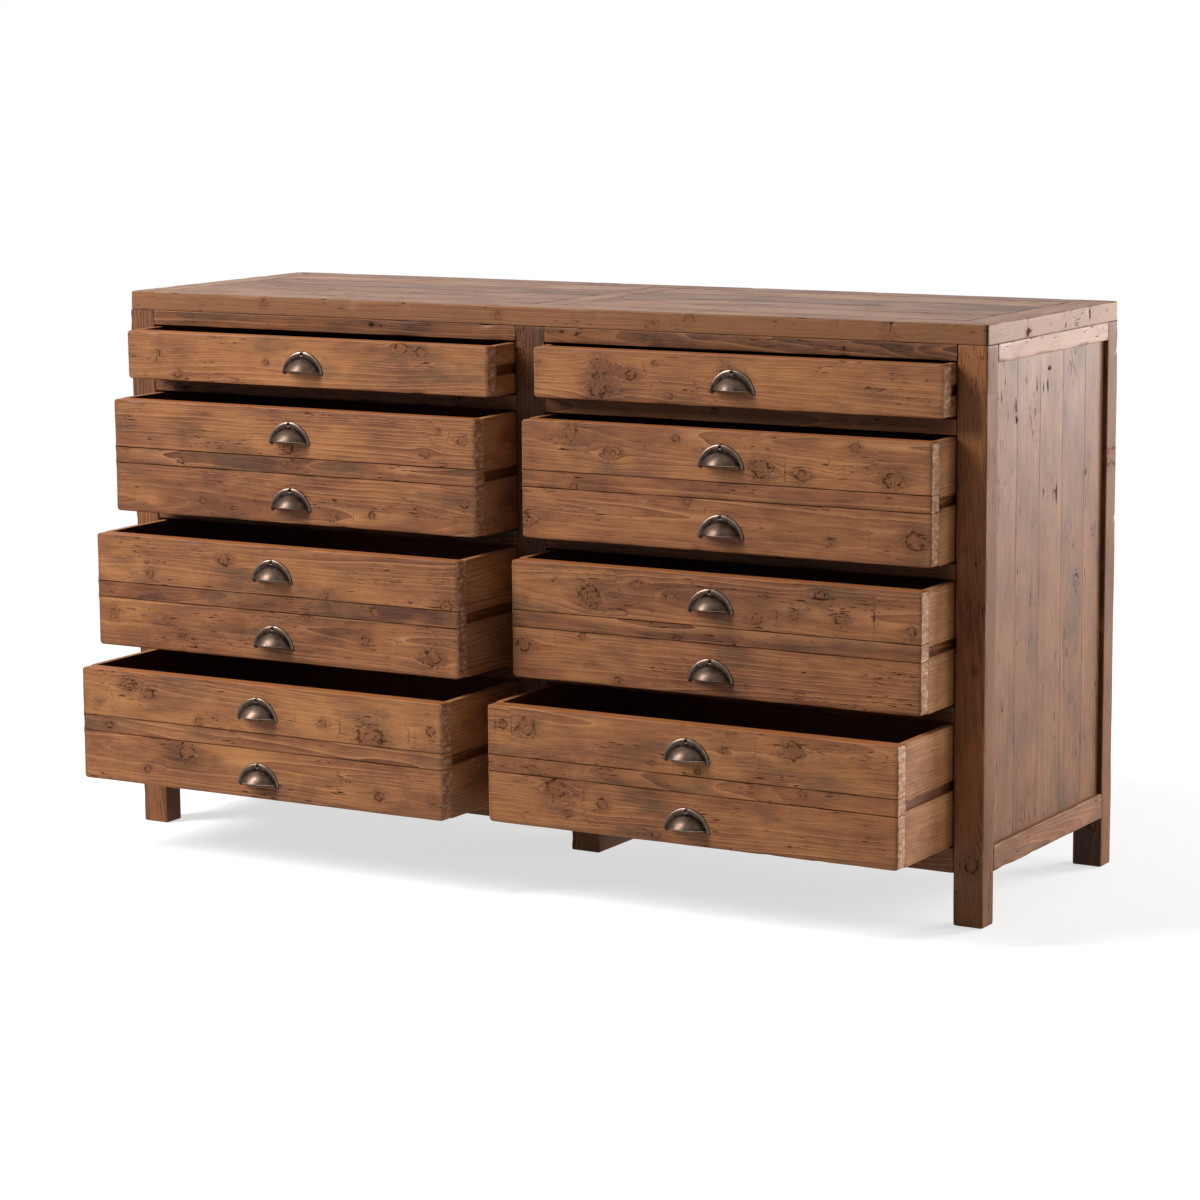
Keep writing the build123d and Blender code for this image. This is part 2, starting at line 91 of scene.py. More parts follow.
def lattice(along, across, deep):
    """Points and outward quads of a box's skin: every lattice point with a first or last index."""
    shape = (len(along), len(across), len(deep))
    ids = np.arange(np.prod(shape)).reshape(shape)
    sheets = (
        (ids[0], True), (ids[-1], False), (ids[:, 0], False),
        (ids[:, -1], True), (ids[:, :, 0], True), (ids[:, :, -1], False),
    )
    quads = []
    for sheet, flip in sheets:
        quad = np.stack([sheet[:-1, :-1], sheet[1:, :-1], sheet[1:, 1:], sheet[:-1, 1:]], -1)
        quad = quad.reshape(-1, 4)
        quads.append(quad[:, ::-1] if flip else quad)
    used, quads = np.unique(np.concatenate(quads), return_inverse=True)
    i, j, k = np.unravel_index(used, shape)
    return np.stack([along[i], across[j], deep[k]], -1), quads.reshape(-1, 4)


print("stations over 30 mm", stations(0, 30, 2, 2, 10))

# %% [markdown]
# ## Wear
#
# Each point then moves onto a ball of the local edge radius. The radius swells and shrinks along
# the edge, and knocks take a little more away here and there. The drawer fronts have corners that
# hands have rounded, so a square corner can be turned into a quarter circle too.

# %% Waves and bells
def waves(rng, u, v, length, count=7):
    """Gentle uneven swell between about -1 and 1: a sum of sines with random slants and phases."""
    turn = rng.uniform(0, math.tau, count)
    pitch = math.tau / (length * rng.uniform(0.45, 1.8, count))
    phase = rng.uniform(0, math.tau, count)
    angle = np.outer(u, pitch * np.cos(turn)) + np.outer(v, pitch * np.sin(turn)) + phase
    return np.sin(angle).sum(1) / math.sqrt(count) / 1.2


def bell(points, spot):
    """A bell curve that is 1 at the spot, which is (along, across, half length, half width)."""
    along, across, length, width = spot
    u, v = (points[:, 0] - along) / length, (points[:, 1] - across) / width
    return np.exp(-(u**2) - v**2)


print("swell", waves(np.random.default_rng(1), np.arange(0, 90, 30.0), np.zeros(3), 120).round(2))

# %% Worn edges
EDGE_REACH, SWELL_LENGTH, DENT_LENGTH, DENT_DEPTH = 8.0, 120, 140, 0.12


def worn(skin, low, high, ease, back, ragged, chips, rng):
    """A skin point p goes to q + r (p - q) / |p - q|, where q is p held r inside the box.

    The edge radius r is ease at the low edge, the high edge and the ends, and back behind. A chip
    (along, across, half length, half width, depth) sinks the skin by a bell curve.
    """
    near_low = np.clip(1 - (skin[:, 1] - low[1]) / EDGE_REACH, 0, 1)
    near_high = np.clip(1 - (high[1] - skin[:, 1]) / EDGE_REACH, 0, 1)
    radius = ease[2] + near_low * (ease[0] - ease[2]) + near_high * (ease[1] - ease[2])
    swell = waves(rng, skin[:, 0], skin[:, 1], SWELL_LENGTH)
    radius *= np.clip(1 + ragged * swell, 0.35, 1.9)
    radius = np.minimum(radius, 0.45 * min(high[2], high[1] - low[1]))
    deep = np.clip(skin[:, 2] / high[2], 0, 1)
    radius = (radius * (1 - deep) + back * deep)[:, None]
    held = np.clip(skin, low + radius, high - radius)
    out = skin - held
    out /= np.linalg.norm(out, axis=1)[:, None]
    front = np.clip(1 - skin[:, 2] / (0.6 * high[2]), 0, 1)
    sink = DENT_DEPTH * (1 + waves(rng, skin[:, 0], skin[:, 1], DENT_LENGTH)) * front
    for *spot, depth in chips:
        sink += front * depth * bell(skin, spot)
    return held + out * (radius - np.clip(sink, 0, None)[:, None])


print("a plain dent is", DENT_DEPTH, "mm deep and about", DENT_LENGTH, "mm long")

# %% Rounded corners
def round_corners(points, low, high, radii):
    """Turns the four corners of the outline into quarter circles of the given radii.

    In a corner's square, (du, dv) from its inner corner is scaled by max(du, dv) / hypot(du, dv).
    """
    for edge, radius in zip((low[1], high[1]), radii):
        for end in (low[0], high[0]):
            toward = np.array([1 if end == low[0] else -1, 1 if edge == low[1] else -1])
            inner = np.array([end, edge]) + toward * radius
            gap = (inner - points[:, :2]) * toward
            square = (gap > 0).all(1)
            scale = gap[square].max(1) / np.linalg.norm(gap[square], axis=1)
            points[square, :2] = inner - toward * gap[square] * scale[:, None]
    return points


corner = round_corners(np.zeros((1, 3)), (0, 0), (90, 90), (6, 6))
print("a square corner rounded by 6 mm goes to", corner[0, :2].round(2))

# %% [markdown]
# ## The tree inside the board
#
# A vertex also learns where it sits in the trunk and how far it is from the nearest knot, so the
# rings run on over the edges and turn into arcs on the end grain, as in solid wood.

# %% Grain and knots
def trunk_place(points, low, high, tree):
    """Place in the trunk in metres: along it, and across and deep from the heart of the tree."""
    width = high[1] - low[1]
    offset, pith = tree.uniform(3000, 18000), tree.uniform(-0.5, 1.5) * width
    heart, taper, lean = tree.uniform(8, 55), tree.uniform(-0.05, 0.05), tree.uniform(-0.015, 0.015)
    reach = points[:, 0] - (low[0] + high[0]) / 2
    return MM * np.stack([
        points[:, 0] + offset,
        points[:, 1] - low[1] - pith - lean * reach,
        points[:, 2] + heart + taper * reach,
    ], -1)


def knot_place(points, knots):
    """Distance along and across to the nearest knot and its radius, in metres; 1 m if none."""
    if not len(knots):
        return np.tile((1.0, 1.0, 0.0), (len(points), 1))
    knots = np.array(knots, float)
    gap = points[:, None, :2] - knots[None, :, :2]
    nearest = (np.linalg.norm(gap, axis=2) - 2 * knots[:, 2]).argmin(1)
    return MM * np.column_stack([gap[np.arange(len(gap)), nearest], knots[nearest, 2]])


def random_knots(low, high, tree, chance):
    """Scattered knots as (along, across, radius), about 1.1 for each 400 cm2 at a chance of 1."""
    length, width = high[0] - low[0], high[1] - low[1]
    number = tree.poisson(chance * 1.1 * length * width / 40000)
    return np.column_stack([
        tree.uniform(low[0], high[0], number), tree.uniform(low[1], high[1], number),
        tree.uniform(3, 11, number),
    ])


print("knots on a metre", len(random_knots((0, 0), (1000, 90), np.random.default_rng(4), 1.0)))

# %% [markdown]
# ## One board
#
# A board is asked for by its two corners, the axis that its grain runs along and its show side.
# It comes back as points and quads, with the fields that the wood needs: grain, knot, marks (dark
# smudges with painted shade, end grain, distance to a free edge), tone, and seam (distance to a
# glued edge).

# %% Edges and dirt
FAR, CHIP_DIRT = 20.0, 0.45


def edge_fields(skin, moved, low, high, joints):
    """Distance to the nearest free edge and to the nearest glued one, as shares of 20 mm."""
    gaps = {
        "l": moved[:, 1] - low[1], "h": high[1] - moved[:, 1],
        "e": np.minimum(skin[:, 0] - low[0], high[0] - skin[:, 0]),
    }
    far = np.full(len(moved), FAR)
    free = np.minimum.reduce([far] + [gap for key, gap in gaps.items() if key not in joints])
    glued = np.minimum.reduce([far] + [gap for key, gap in gaps.items() if key in joints])
    return np.clip(free, 0, FAR) / FAR, np.clip(glued, 0, FAR) / FAR


def edge_knocks(low, high, joints, nicks, rng):
    """Knocks on the free long edges, as chips; their number is a Poisson draw for each edge."""
    knocks = []
    for edge in [low[1]] * ("l" not in joints) + [high[1]] * ("h" not in joints):
        for spot in rng.uniform(low[0], high[0], rng.poisson(nicks * (high[0] - low[0]) * MM)):
            length, width = rng.uniform(4, 13), rng.uniform(1.5, 4)
            knocks.append((spot, edge, length, width, rng.uniform(0.4, 1.5)))
    return knocks


def dirt(shown, moved, smudges, chips):
    """Every smudge's bell times its strength, and beside the face every chip's bell times 0.45."""
    near_face = np.clip(1 - moved[:, 2] / EDGE_REACH, 0, 1)
    dark = np.zeros(len(moved))
    # Smudges include a line of painted shade down the right end of each drawer front.
    for *spot, strength in smudges:
        dark += strength * bell(shown, spot)
    for *spot, _ in chips:
        dark += CHIP_DIRT * near_face * bell(moved, spot)
    return np.clip(dark, 0, 1)


print("knocks on a metre", len(edge_knocks((0, 0), (1000, 90), "e", 3, np.random.default_rng(1))))

# %% Board
AXES = "xyz"


def placed(moved, quads, axes, face, base, roof):
    """Along, across and deep become the axes of the chest in metres, with deep behind the face."""
    along, across, deep = axes
    ahead = face[0] == "-"
    world, turned = np.empty_like(moved), np.zeros((3, 3))
    world[:, along], world[:, across] = moved[:, 0], moved[:, 1]
    world[:, deep] = base + moved[:, 2] if ahead else roof - moved[:, 2]
    turned[along, 0] = turned[across, 1] = 1
    turned[deep, 2] = 1 if ahead else -1
    return world * MM, quads if np.linalg.det(turned) > 0 else quads[:, ::-1]


def board(low, high, along, face, seed, step=5.0, ease=(1.5, 1.5, 1.5), back=0.8, ragged=0.35,
          knots=None, smudges=(), chips=(), nicks=0.0, ends=0.0, mitre=(0, 0), tone=None,
          knot_chance=1.0, corners=(0, 0), joints="e", on_edge=False):
    """One worn board between two corners in millimetres, with the fields that its wood needs.

    Along names the grain's axis and face the show side, such as "-y". Joints names the edges that
    meet another board: l and h for the low and high long edge, e for the ends. Ease, back and
    ragged are how round and how uneven the edges are. Knots are (along, across, radius) and
    smudges (along, across, half length, half width, strength); on_edge measures across down the
    board's edge instead. Nicks is the number of knocks on each metre of free edge, and a knock
    holds some dirt. Mitre is how much is cut off each end at the low and the high edge, corners
    are the radii there, and ends is how torn the end grain is. Tone is how pale the stain came
    out: drawn from 0 to 1 if none is given, and darker still below 0, which some boards use for
    painted shade. From 1 up to 2 it adds a pale grey painted sheen.
    out: drawn from 0 to 1 if none is given, darker still below 0, and bleached from 1 up to 2.
    """
    # a, t and d are the numbers of the axes along, across and deep
    rng, tree = np.random.default_rng(seed), np.random.default_rng(seed + 5000)
    a, d = AXES.index(along), AXES.index(face[1])
    t = 3 - a - d
    base, roof = low[d], high[d]
    thick = roof - base
    low, high = np.array([low[a], low[t], 0.0]), np.array([high[a], high[t], thick])
    skin, quads = lattice(
        stations(low[0], high[0], ease[2], ease[2], step),
        stations(low[1], high[1], ease[0], ease[1], step),
        stations(0, thick, max(ease), back, step if on_edge else max(step, thick / 3)),
    )
    chips = [*chips, *edge_knocks(low, high, joints, nicks, rng)]
    moved = worn(skin, low, high, ease, back, ragged, chips, rng)
    moved = round_corners(moved, low, high, corners)
    inset = mitre[0] + (mitre[1] - mitre[0]) * (moved[:, 1] - low[1]) / (high[1] - low[1])
    middle = (low[0] + high[0]) / 2
    moved[:, 0] = middle + (moved[:, 0] - middle) * (1 - inset / (high[0] - middle))
    world, quads = placed(moved, quads, (a, t, d), face, base, roof)
    grain = trunk_place(moved, low, high, tree)
    if knots is None:
        knots = random_knots(low, high, tree, knot_chance)
    free, glued = edge_fields(skin, moved, low, high, joints)
    shown = moved[:, [0, 2]] if on_edge else moved[:, :2]
    at_end = (np.minimum(skin[:, 0] - low[0], high[0] - skin[:, 0]) < 0.5).astype(float)
    shade = tree.uniform(0, 1) if tone is None else tone
    return {
        "points": world, "quads": quads, "grain": grain, "knot": knot_place(shown, knots),
        "marks": np.column_stack([dirt(shown, moved, smudges, chips), ends * at_end, free]),
        "tone": np.full(len(world), shade), "seam": glued,
    }


sample = board((0, 0, 0), (400, 25, 80), "x", "-y", seed=1)
print("a 400 mm board", len(sample["points"]), "points, size",
      (np.ptp(sample["points"], 0) / MM).round(1))

# %% [markdown]
# ## From boards to a piece
#
# Boards that are one CAD node become one object. Its place is in its mesh, it rides on the node's
# body, and it stands in for the node in the picture while the node stays for the joints. Its
# material is found by the node's slot.

# %% Piece
KINDS = {"grain": "FLOAT_VECTOR", "knot": "FLOAT_VECTOR", "marks": "FLOAT_VECTOR",
         "tone": "FLOAT", "seam": "FLOAT", "rubbed": "FLOAT"}
looks, triangles = {}, []


def piece(name, parts, node_name, slot, body="carcass"):
    """One object from several parts, with their fields as attributes, in place of its CAD node."""
    starts = np.cumsum([0] + [len(part["points"]) for part in parts])
    points = np.concatenate([part["points"] for part in parts])
    quads = np.concatenate([part["quads"] + start for part, start in zip(parts, starts)])
    mesh = bpy.data.meshes.new(name)
    mesh.vertices.add(len(points))
    mesh.vertices.foreach_set("co", points.astype(np.float32).ravel())
    mesh.loops.add(quads.size)
    mesh.loops.foreach_set("vertex_index", quads.astype(np.int32).ravel())
    mesh.polygons.add(len(quads))
    mesh.polygons.foreach_set("loop_start", np.arange(0, quads.size, 4, dtype=np.int32))
    mesh.update(calc_edges=True)
    mesh.shade_smooth()
    for key in [key for key in KINDS if key in parts[0]]:
        values = np.concatenate([part[key] for part in parts]).astype(np.float32)
        field = mesh.attributes.new(key, KINDS[key], "POINT")
        field.data.foreach_set("vector" if values.ndim == 2 else "value", values.ravel())
    mesh.materials.append(looks[slot])
    made = bpy.data.objects.new(name, mesh)
    bpy.context.scene.collection.objects.link(made)
    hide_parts(node_name)
    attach(made, body)
    triangles.append(len(quads) * 2)
    print(name, triangles[-1], "triangles")


print("fields", sorted(KINDS))

# %% [markdown]
# ## The look of old pine
#
# The timber is pine that has been sawn, used, and then stained and waxed. What the eye sees:
# growth rings as thin lines that spread round knots, fine fibres along the grain, grey clouds
# where the stain and dirt went in, short drying cracks, rubbed edges, and a soft wax shine.
# The steps below work these out one after another in one set of nodes. Most of them end in layers:
# pairs of how much of a colour lies at a place, and which colour. A range that names no other
# ends runs from 0 to 1.

# %% Colours and nodes
def linear(text):
    """An sRGB hex colour as linear red, green, blue and alpha."""
    shares = np.array([int(text[i:i + 2], 16) for i in (1, 3, 5)]) / 255
    shares = np.where(shares <= 0.04045, shares / 12.92, ((shares + 0.055) / 1.055) ** 2.4)
    return (*shares.tolist(), 1.0)


def node(tree, kind, *inputs, named=None, **settings):
    """Adds a node. Inputs go to its sockets in order or by name; a node gives its first output."""
    made = tree.nodes.new("ShaderNode" + kind)
    for key, value in settings.items():
        setattr(made, key, value)
    in_use = [socket for socket in made.inputs if socket.enabled]
    wanted = list(zip(in_use, inputs))
    wanted += [(made.inputs[key], value) for key, value in (named or {}).items()]
    for socket, value in wanted:
        if isinstance(value, bpy.types.Node):
            value = next(output for output in value.outputs if output.enabled)
        if isinstance(value, bpy.types.NodeSocket):
            tree.links.new(value, socket)
        else:
            socket.default_value = value
    return made


def new_material(name):
    """An empty material, and the node function bound to its tree."""
    material = bpy.data.materials.new(name)
    material.use_nodes = True
    material.node_tree.nodes.clear()
    return material, functools.partial(node, material.node_tree)


SMOOTH = {"interpolation_type": "SMOOTHSTEP"}
RGBA = {"data_type": "RGBA"}
PLUS, MINUS, TIMES, OVER, TIMES_PLUS, MOST = (
    {"operation": name}
    for name in ("ADD", "SUBTRACT", "MULTIPLY", "DIVIDE", "MULTIPLY_ADD", "MAXIMUM"))
print("stained pine in linear light", [round(value, 3) for value in linear("#80512a")[:3]])

# %% [markdown]
# ### Patterns
#
# Every pattern is a noise on the place in the trunk, read so many times a metre along, across and
# deep: at 640 a metre the fibres are 1.6 mm wide. Real ones are a few hundredths of a millimetre
# wide, too fine to show, so they are drawn that coarse. Most patterns are long along the grain, and
# the thin ones read a place that sways, because no tree grows quite straight.

# %% Where the wood is
PATTERNS = {
    "region": ("grain", (2.0, 8.0, 8.0), 2.0, 0.5),
    "stain": ("grain", (7.0, 15.0, 15.0), 4.0, 0.62),
    "cloud": ("grain", (6.5, 19.0, 19.0), 5.0, 0.62),
    "where": ("grain", (9.0, 27.0, 27.0), 2.0, 0.62),
    "patchy": ("grain", (85.0, 120.0, 120.0), 2.0, 0.55),
    "fine": ("grain", (150.0, 210.0, 210.0), 3.0, 0.6),
    "stroke": ("grain", (250.0, 55.0, 250.0), 2.0, 0.5),
    "splinter": ("grain", (110.0, 170.0, 80.0), 3.0, 0.65),
    "streak": ("swayed", (6.0, 230.0, 230.0), 3.0, 0.62),
    "fibre": ("swayed", (14.0, 640.0, 640.0), 3.0, 0.62),
    "split": ("swayed", (48.0, 420.0, 420.0), 1.5, 0.5),
    "tear": ("swayed", (240.0, 260.0, 260.0), 2.0, 0.5),
}


def wood_fields(add):
    """The board's fields and the patterns, as sockets and nodes that the later steps read."""
    at = {key: add("Attribute", attribute_name=key).outputs["Vector"]
          for key in ("grain", "knot", "marks")}
    at |= {key: add("Attribute", attribute_name=key).outputs["Fac"] for key in ("tone", "seam")}
    by_knot, marks = add("SeparateXYZ", at["knot"]), add("SeparateXYZ", at["marks"])
    at |= {"beside": by_knot.outputs["Y"], "radius": by_knot.outputs["Z"],
           "smudge_and_shade": marks.outputs["X"], "end": marks.outputs["Y"], "edge": marks.outputs["Z"]}
    place = add("VectorMath", at["grain"], (3.0, 16.0, 16.0), **TIMES)
    sway = add("TexNoise", place, 1.0, 2.0, 0.5).outputs["Color"]
    sway = add("VectorMath", sway, (0.5, 0.5, 0.5), **MINUS)
    at["swayed"] = add("VectorMath", sway, (0.0, 0.016, 0.016), at["grain"], **TIMES_PLUS)
    for name, (source, per_metre, detail, rough) in PATTERNS.items():
        place = add("VectorMath", at[source], per_metre, **TIMES)
        at[name] = add("TexNoise", place, 1.0, detail, rough)
    return at


print("fibres", round(1000 / PATTERNS["fibre"][1][1], 1), "mm wide, cracks about",
      *(round(1000 / times, 1) for times in PATTERNS["split"][1][:2]), "mm")

# %% [markdown]
# ### Rings round knots
#
# A knot pushes the rings aside as a stone does water. The push fades with distance, and both
# depend only on where the point lies from the knot's middle, measured in the knot's radius.

# %% Distance from the heart
KNOT_PUSH, PUSH_FADE = 1.35, 14.0


def heart_distance(add, at):
    """Distance from the heart, with the place across moved by the push of the nearest knot.

    The push is -1.35 times the distance across, times R2 / (d2 + 0.3 R2), times exp(-d2 / 14 R2).
    """
    oval = add("VectorMath", at["knot"], (0.42, 1.0, 0.0), **TIMES)
    square = add("VectorMath", oval, oval, operation="DOT_PRODUCT")
    size = add("Math", at["radius"], at["radius"], **TIMES)
    near = add("Math", size, add("Math", size, 0.3, square, **TIMES_PLUS), **OVER)
    fall = add("Math", square, add("Math", size, -PUSH_FADE, **TIMES), **OVER)
    fade = add("Math", add("Math", fall, operation="EXPONENT"), -KNOT_PUSH, **TIMES)
    push = add("Math", add("Math", at["beside"], near, **TIMES), fade, **TIMES)
    parts = add("SeparateXYZ", at["swayed"])
    across = add("Math", parts.outputs["Y"], push, **PLUS)
    section = add("CombineXYZ", 0.0, across, parts.outputs["Z"])
    return add("VectorMath", section, operation="LENGTH")


print("ring push beside a knot", round(-KNOT_PUSH / 1.3 * math.exp(-1 / PUSH_FADE), 2), "radii")

# %% [markdown]
# ### Knots
#
# A knot is a branch cut through: its own close rings, an uneven outline and dense wood round it.

# %% Knot shapes
KNOT_BANDS = {"inside": (1.12, 0.8), "halo": (3.0, 0.9), "outer": (1.3, 1.02), "inner": (0.7, 0.95)}


def knot_shapes(add, at):
    """Share of the way from a knot's middle to its rim, bent by noise, and what follows from it."""
    wander = add("VectorMath", at["patchy"].outputs["Color"], (0.5, 0.5, 0.5), **MINUS)
    bend = add("VectorMath", wander, add("Math", at["radius"], 1.4, **TIMES), operation="SCALE")
    bent = add("VectorMath", at["knot"], bend, **PLUS)
    flat = add("VectorMath", bent, (0.85, 1.0, 0.0), **TIMES)
    at["from_middle"] = add("VectorMath", flat, operation="LENGTH")
    safe = add("Math", at["radius"], 1e-6, **PLUS)
    share = add("Math", at["from_middle"], safe, **OVER)
    for name, (none, full) in KNOT_BANDS.items():
        at[name] = add("MapRange", share, none, full, **SMOOTH)
    at["rim"] = add("Math", at["outer"], at["inner"], **TIMES)
    at["swirl"] = add("Math", share, 9.0, **TIMES)


print("a knot's dark rim lies between", KNOT_BANDS["inner"][0], "and", KNOT_BANDS["outer"][0],
      "radii, and its halo reaches", KNOT_BANDS["halo"][0])

# %% [markdown]
# ### Years
#
# Each year begins with pale, soft wood and ends in a thin dark line. The years differ in width
# and strength. A fir or pine trunk adds two to six millimetres a year; a flat-sawn board shows
# them wider, as long arches.

# %% Growth rings
def growth_rings(add, at, ring):
    """Late wood is the share of the year to the power 4; early wood is what follows its end."""
    own = add("Math", at["from_middle"], 1.6, 0.7, **TIMES_PLUS)
    place = add("Mix", at["inside"], heart_distance(add, at), own, data_type="FLOAT")
    years = add("Math", place, 1000.0 / ring, **TIMES)
    uneven = add("TexNoise", add("Math", years, 0.35, **TIMES), 1.0, 2.0,
                 noise_dimensions="1D")
    year = add("Math", add("Math", uneven, 3.0, years, **TIMES_PLUS), operation="FRACT")
    strength = add("TexNoise", add("Math", years, 0.8, **TIMES), 1.0, 1.0,
                   noise_dimensions="1D")
    region = add("MapRange", at["region"], 0.36, 0.6, 0.4, 1.0, **SMOOTH)
    strength = add("MapRange", strength, 0.3, 0.7, 0.2, 1.0, **SMOOTH)
    strength = add("Math", strength, region, **TIMES)
    at["late"] = add("Math", add("Math", year, 4.0, operation="POWER"), strength, **TIMES)
    start = add("Math", add("Math", 1.0, year, **MINUS), 5.0, operation="POWER")
    at["early"] = add("Math", start, strength, **TIMES)
    at["bands"] = add("TexNoise", add("Math", years, 1.7, **TIMES), 1.0, 3.0, 0.65,
                      noise_dimensions="1D")


print("rings are over half dark in the last", round(1 - 0.5 ** 0.25, 2), "of a year")

# %% [markdown]
# ### Stain
#
# Stain sinks in unevenly. Fibres, streaks, years and soft clouds each move the colour a little
# along one scale from deep through body to pale, and grey clouds of old dirt lie over it.

# %% Stained colour
STAIN_WEIGHTS = {"bands": 0.2, "streak": 0.25, "fibre": 0.7, "tone": 0.45, "early": 0.3}


def stained_colour(add, at, pale, body, deep, patch):
    """Adds up the differences of every pattern from its middle, times its own weight."""
    level = 0.5
    for pattern, weight in {"stain": patch, **STAIN_WEIGHTS}.items():
        middle = 0.0 if pattern == "early" else 0.5
        change = add("Math", at[pattern], middle, **MINUS)
        level = add("Math", change, weight, level, **TIMES_PLUS)
    ramp = add("ValToRGB", level)
    scale = ramp.color_ramp.elements
    scale[0].position, scale[0].color = 0.12, linear(deep)
    scale[1].position, scale[1].color = 0.88, linear(pale)
    scale.new(0.5).color = linear(body)
    return ramp.outputs["Color"]


def stain_layers(add, at, lines, dirt):
    """Dark late wood, more round knots, pale early wood, grey clouds and a painted sheen above tone
    1.
    """
    weight = add("Math", at["halo"], 0.35, lines, **TIMES_PLUS)
    lined = add("Math", at["late"], weight, **TIMES, use_clamp=True)
    pale_line = add("Math", at["early"], 1.2 * lines, **TIMES, use_clamp=True)
    grey = add("MapRange", at["cloud"], 0.5, 0.7, 0.0, dirt, **SMOOTH)
    # Above tone 1 the wood turns pale grey-pink: a painted sheen, not bleaching.
    painted_sheen = add("MapRange", at["tone"], 1.0, 2.0, 0.0, 0.75)
    return (lined, "#472410"), (pale_line, "#b9855a"), (grey, "#4a3626"), (painted_sheen, "#b39a8b")


print("weights of the stain's patterns", STAIN_WEIGHTS)

# %% [markdown]
# ### Knot colour, cracks and bruises
#
# Knots are redder inside, with a thin broken dark outline. Drying opens short cracks along the
# grain, and in and beside knots. Rough handling leaves pits and dark bruises.

# %% Knot colour
def knot_layers(add, at):
    """Reddish wood inside a knot, swirled by its own rings, and an outline broken by noise."""
    swirl = add("TexNoise", at["swirl"], 1.0, 2.0, 0.6, noise_dimensions="1D")
    swirl = add("MapRange", swirl, 0.35, 0.65, **SMOOTH)
    wood = add("Mix", swirl, linear("#5c301a"), linear("#8a5530"), **RGBA)
    faded = add("MapRange", at["fine"], 0.3, 0.7, 0.12, 0.52, **SMOOTH)
    halo = add("Math", at["halo"], faded, **TIMES)
    inside = add("Math", at["inside"], 0.65, **TIMES)
    broken = add("MapRange", at["patchy"], 0.43, 0.6, 0.05, 0.78, **SMOOTH)
    at["outline"] = add("Math", at["rim"], broken, **TIMES)
    return (halo, "#4c2e1c"), (inside, wood), (at["outline"], "#30180c")


print("heart of a knot in linear light", [round(value, 3) for value in linear("#5c301a")[:3]])

# %% Cracks and bruises
pit_places, pit_edge = (26.0, 42.0, 42.0), (0.08, 0.03)


def crack_layers(add, at, cracks):
    """Thin dark slits where a long narrow noise is high, kept to a few areas, and round pits."""
    area = add("MapRange", at["where"], 0.5, 0.62, **SMOOTH)
    split = add("MapRange", at["split"], 0.62, 0.68, 0.0, cracks, **SMOOTH)
    split = add("Math", split, area, **TIMES)
    torn = add("MapRange", at["tear"], 0.6, 0.68, 0.0, 0.85, **SMOOTH)
    torn = add("Math", torn, add("Math", at["halo"], 1.5, operation="POWER"), **TIMES)
    at["crack"] = add("Math", split, torn, **MOST)
    place = add("VectorMath", at["grain"], pit_places, **TIMES)
    pit = add("MapRange", add("TexVoronoi", place, 1.0), *pit_edge, 0.0, 0.8, **SMOOTH)
    at["pit"] = add("Math", pit, area, **TIMES)
    stroke = add("Math", at["stroke"], at["fine"], **MOST)
    # The smudge field also carries painted shade: a line down each front's right end and the drawer
    # insides.
    level = add("Math", stroke, at["smudge_and_shade"], **PLUS)
    at["blot"] = add("MapRange", level, 1.05, 1.22, 0.0, 0.85, **SMOOTH)
    cloud = add("Math", at["smudge_and_shade"], 0.4, **TIMES)
    bruise_and_shade = add("Math", at["blot"], cloud, **MOST)
    return (at["crack"], "#1d100a"), (at["pit"], "#22120a"), (bruise_and_shade, "#22150c")


print("pits about", *(round(1000 * sum(pit_edge) / times, 1) for times in pit_places[:2]), "mm")

# %% [markdown]
# ### Edges, seams and end grain
#
# Grime collects beside an edge and the very corner is rubbed back to bright wood. A glued seam
# shows as a thin line that comes and goes. End grain is torn and catches pale filler and wax.

# %% Edges
def edge_layers(add, at, grime, rub, seams, reach, flecks, worn_edge):
    """Bands by distance from a free edge, a glued edge or an end, each broken by a noise."""
    bands = []
    for field, none, full, most, pattern, low, high, least, colour in (
        ("edge", 0.5, 0.05, grime, "stain", 0.35, 0.62, 0.0, "#40240f"),
        ("edge", 0.1, 0.02, rub, "fine", 0.3, 0.55, 0.2, worn_edge),
        ("seam", reach, 0.2 * reach, seams, "where", 0.3, 0.6, 0.3, "#2e180b"),
    ):
        band = add("MapRange", at[field], none, full, 0.0, most, **SMOOTH)
        broken = add("MapRange", at[pattern], low, high, least, 1.0, **SMOOTH)
        bands.append((add("Math", band, broken, **TIMES), colour))
    at["gap"] = bands[2][0]
    shade = add("MapRange", at["splinter"], 0.35, 0.6, **SMOOTH)
    end_wood = add("Mix", shade, linear("#97674a"), linear("#c49a7a"), **RGBA)
    ends = add("MapRange", at["end"], 0.35, 0.8, 0.0, 0.75, **SMOOTH)
    fleck = add("MapRange", at["splinter"], 0.56, 0.68, 0.0, flecks, **SMOOTH)
    fleck = add("Math", fleck, at["end"], **TIMES)
    return *bands, (ends, end_wood), (fleck, "#d3baa4")


print("a front seam's dirt is", 0.075 * FAR, "mm wide at most")

# %% [markdown]
# ### Wax
#
# Wax gives a soft shine. Its IOR is about 1.4; old, dry wax shines less, and 1.31 matches the real
# one. The brushed surface spreads the reflection, more so in cracks and bruises, which hold dust
# and hardly shine at all. The late wood stands proud of the softer wood between.

# %% Pine
WAX_ROUGHNESS, WAX_IOR = 0.47, 1.31


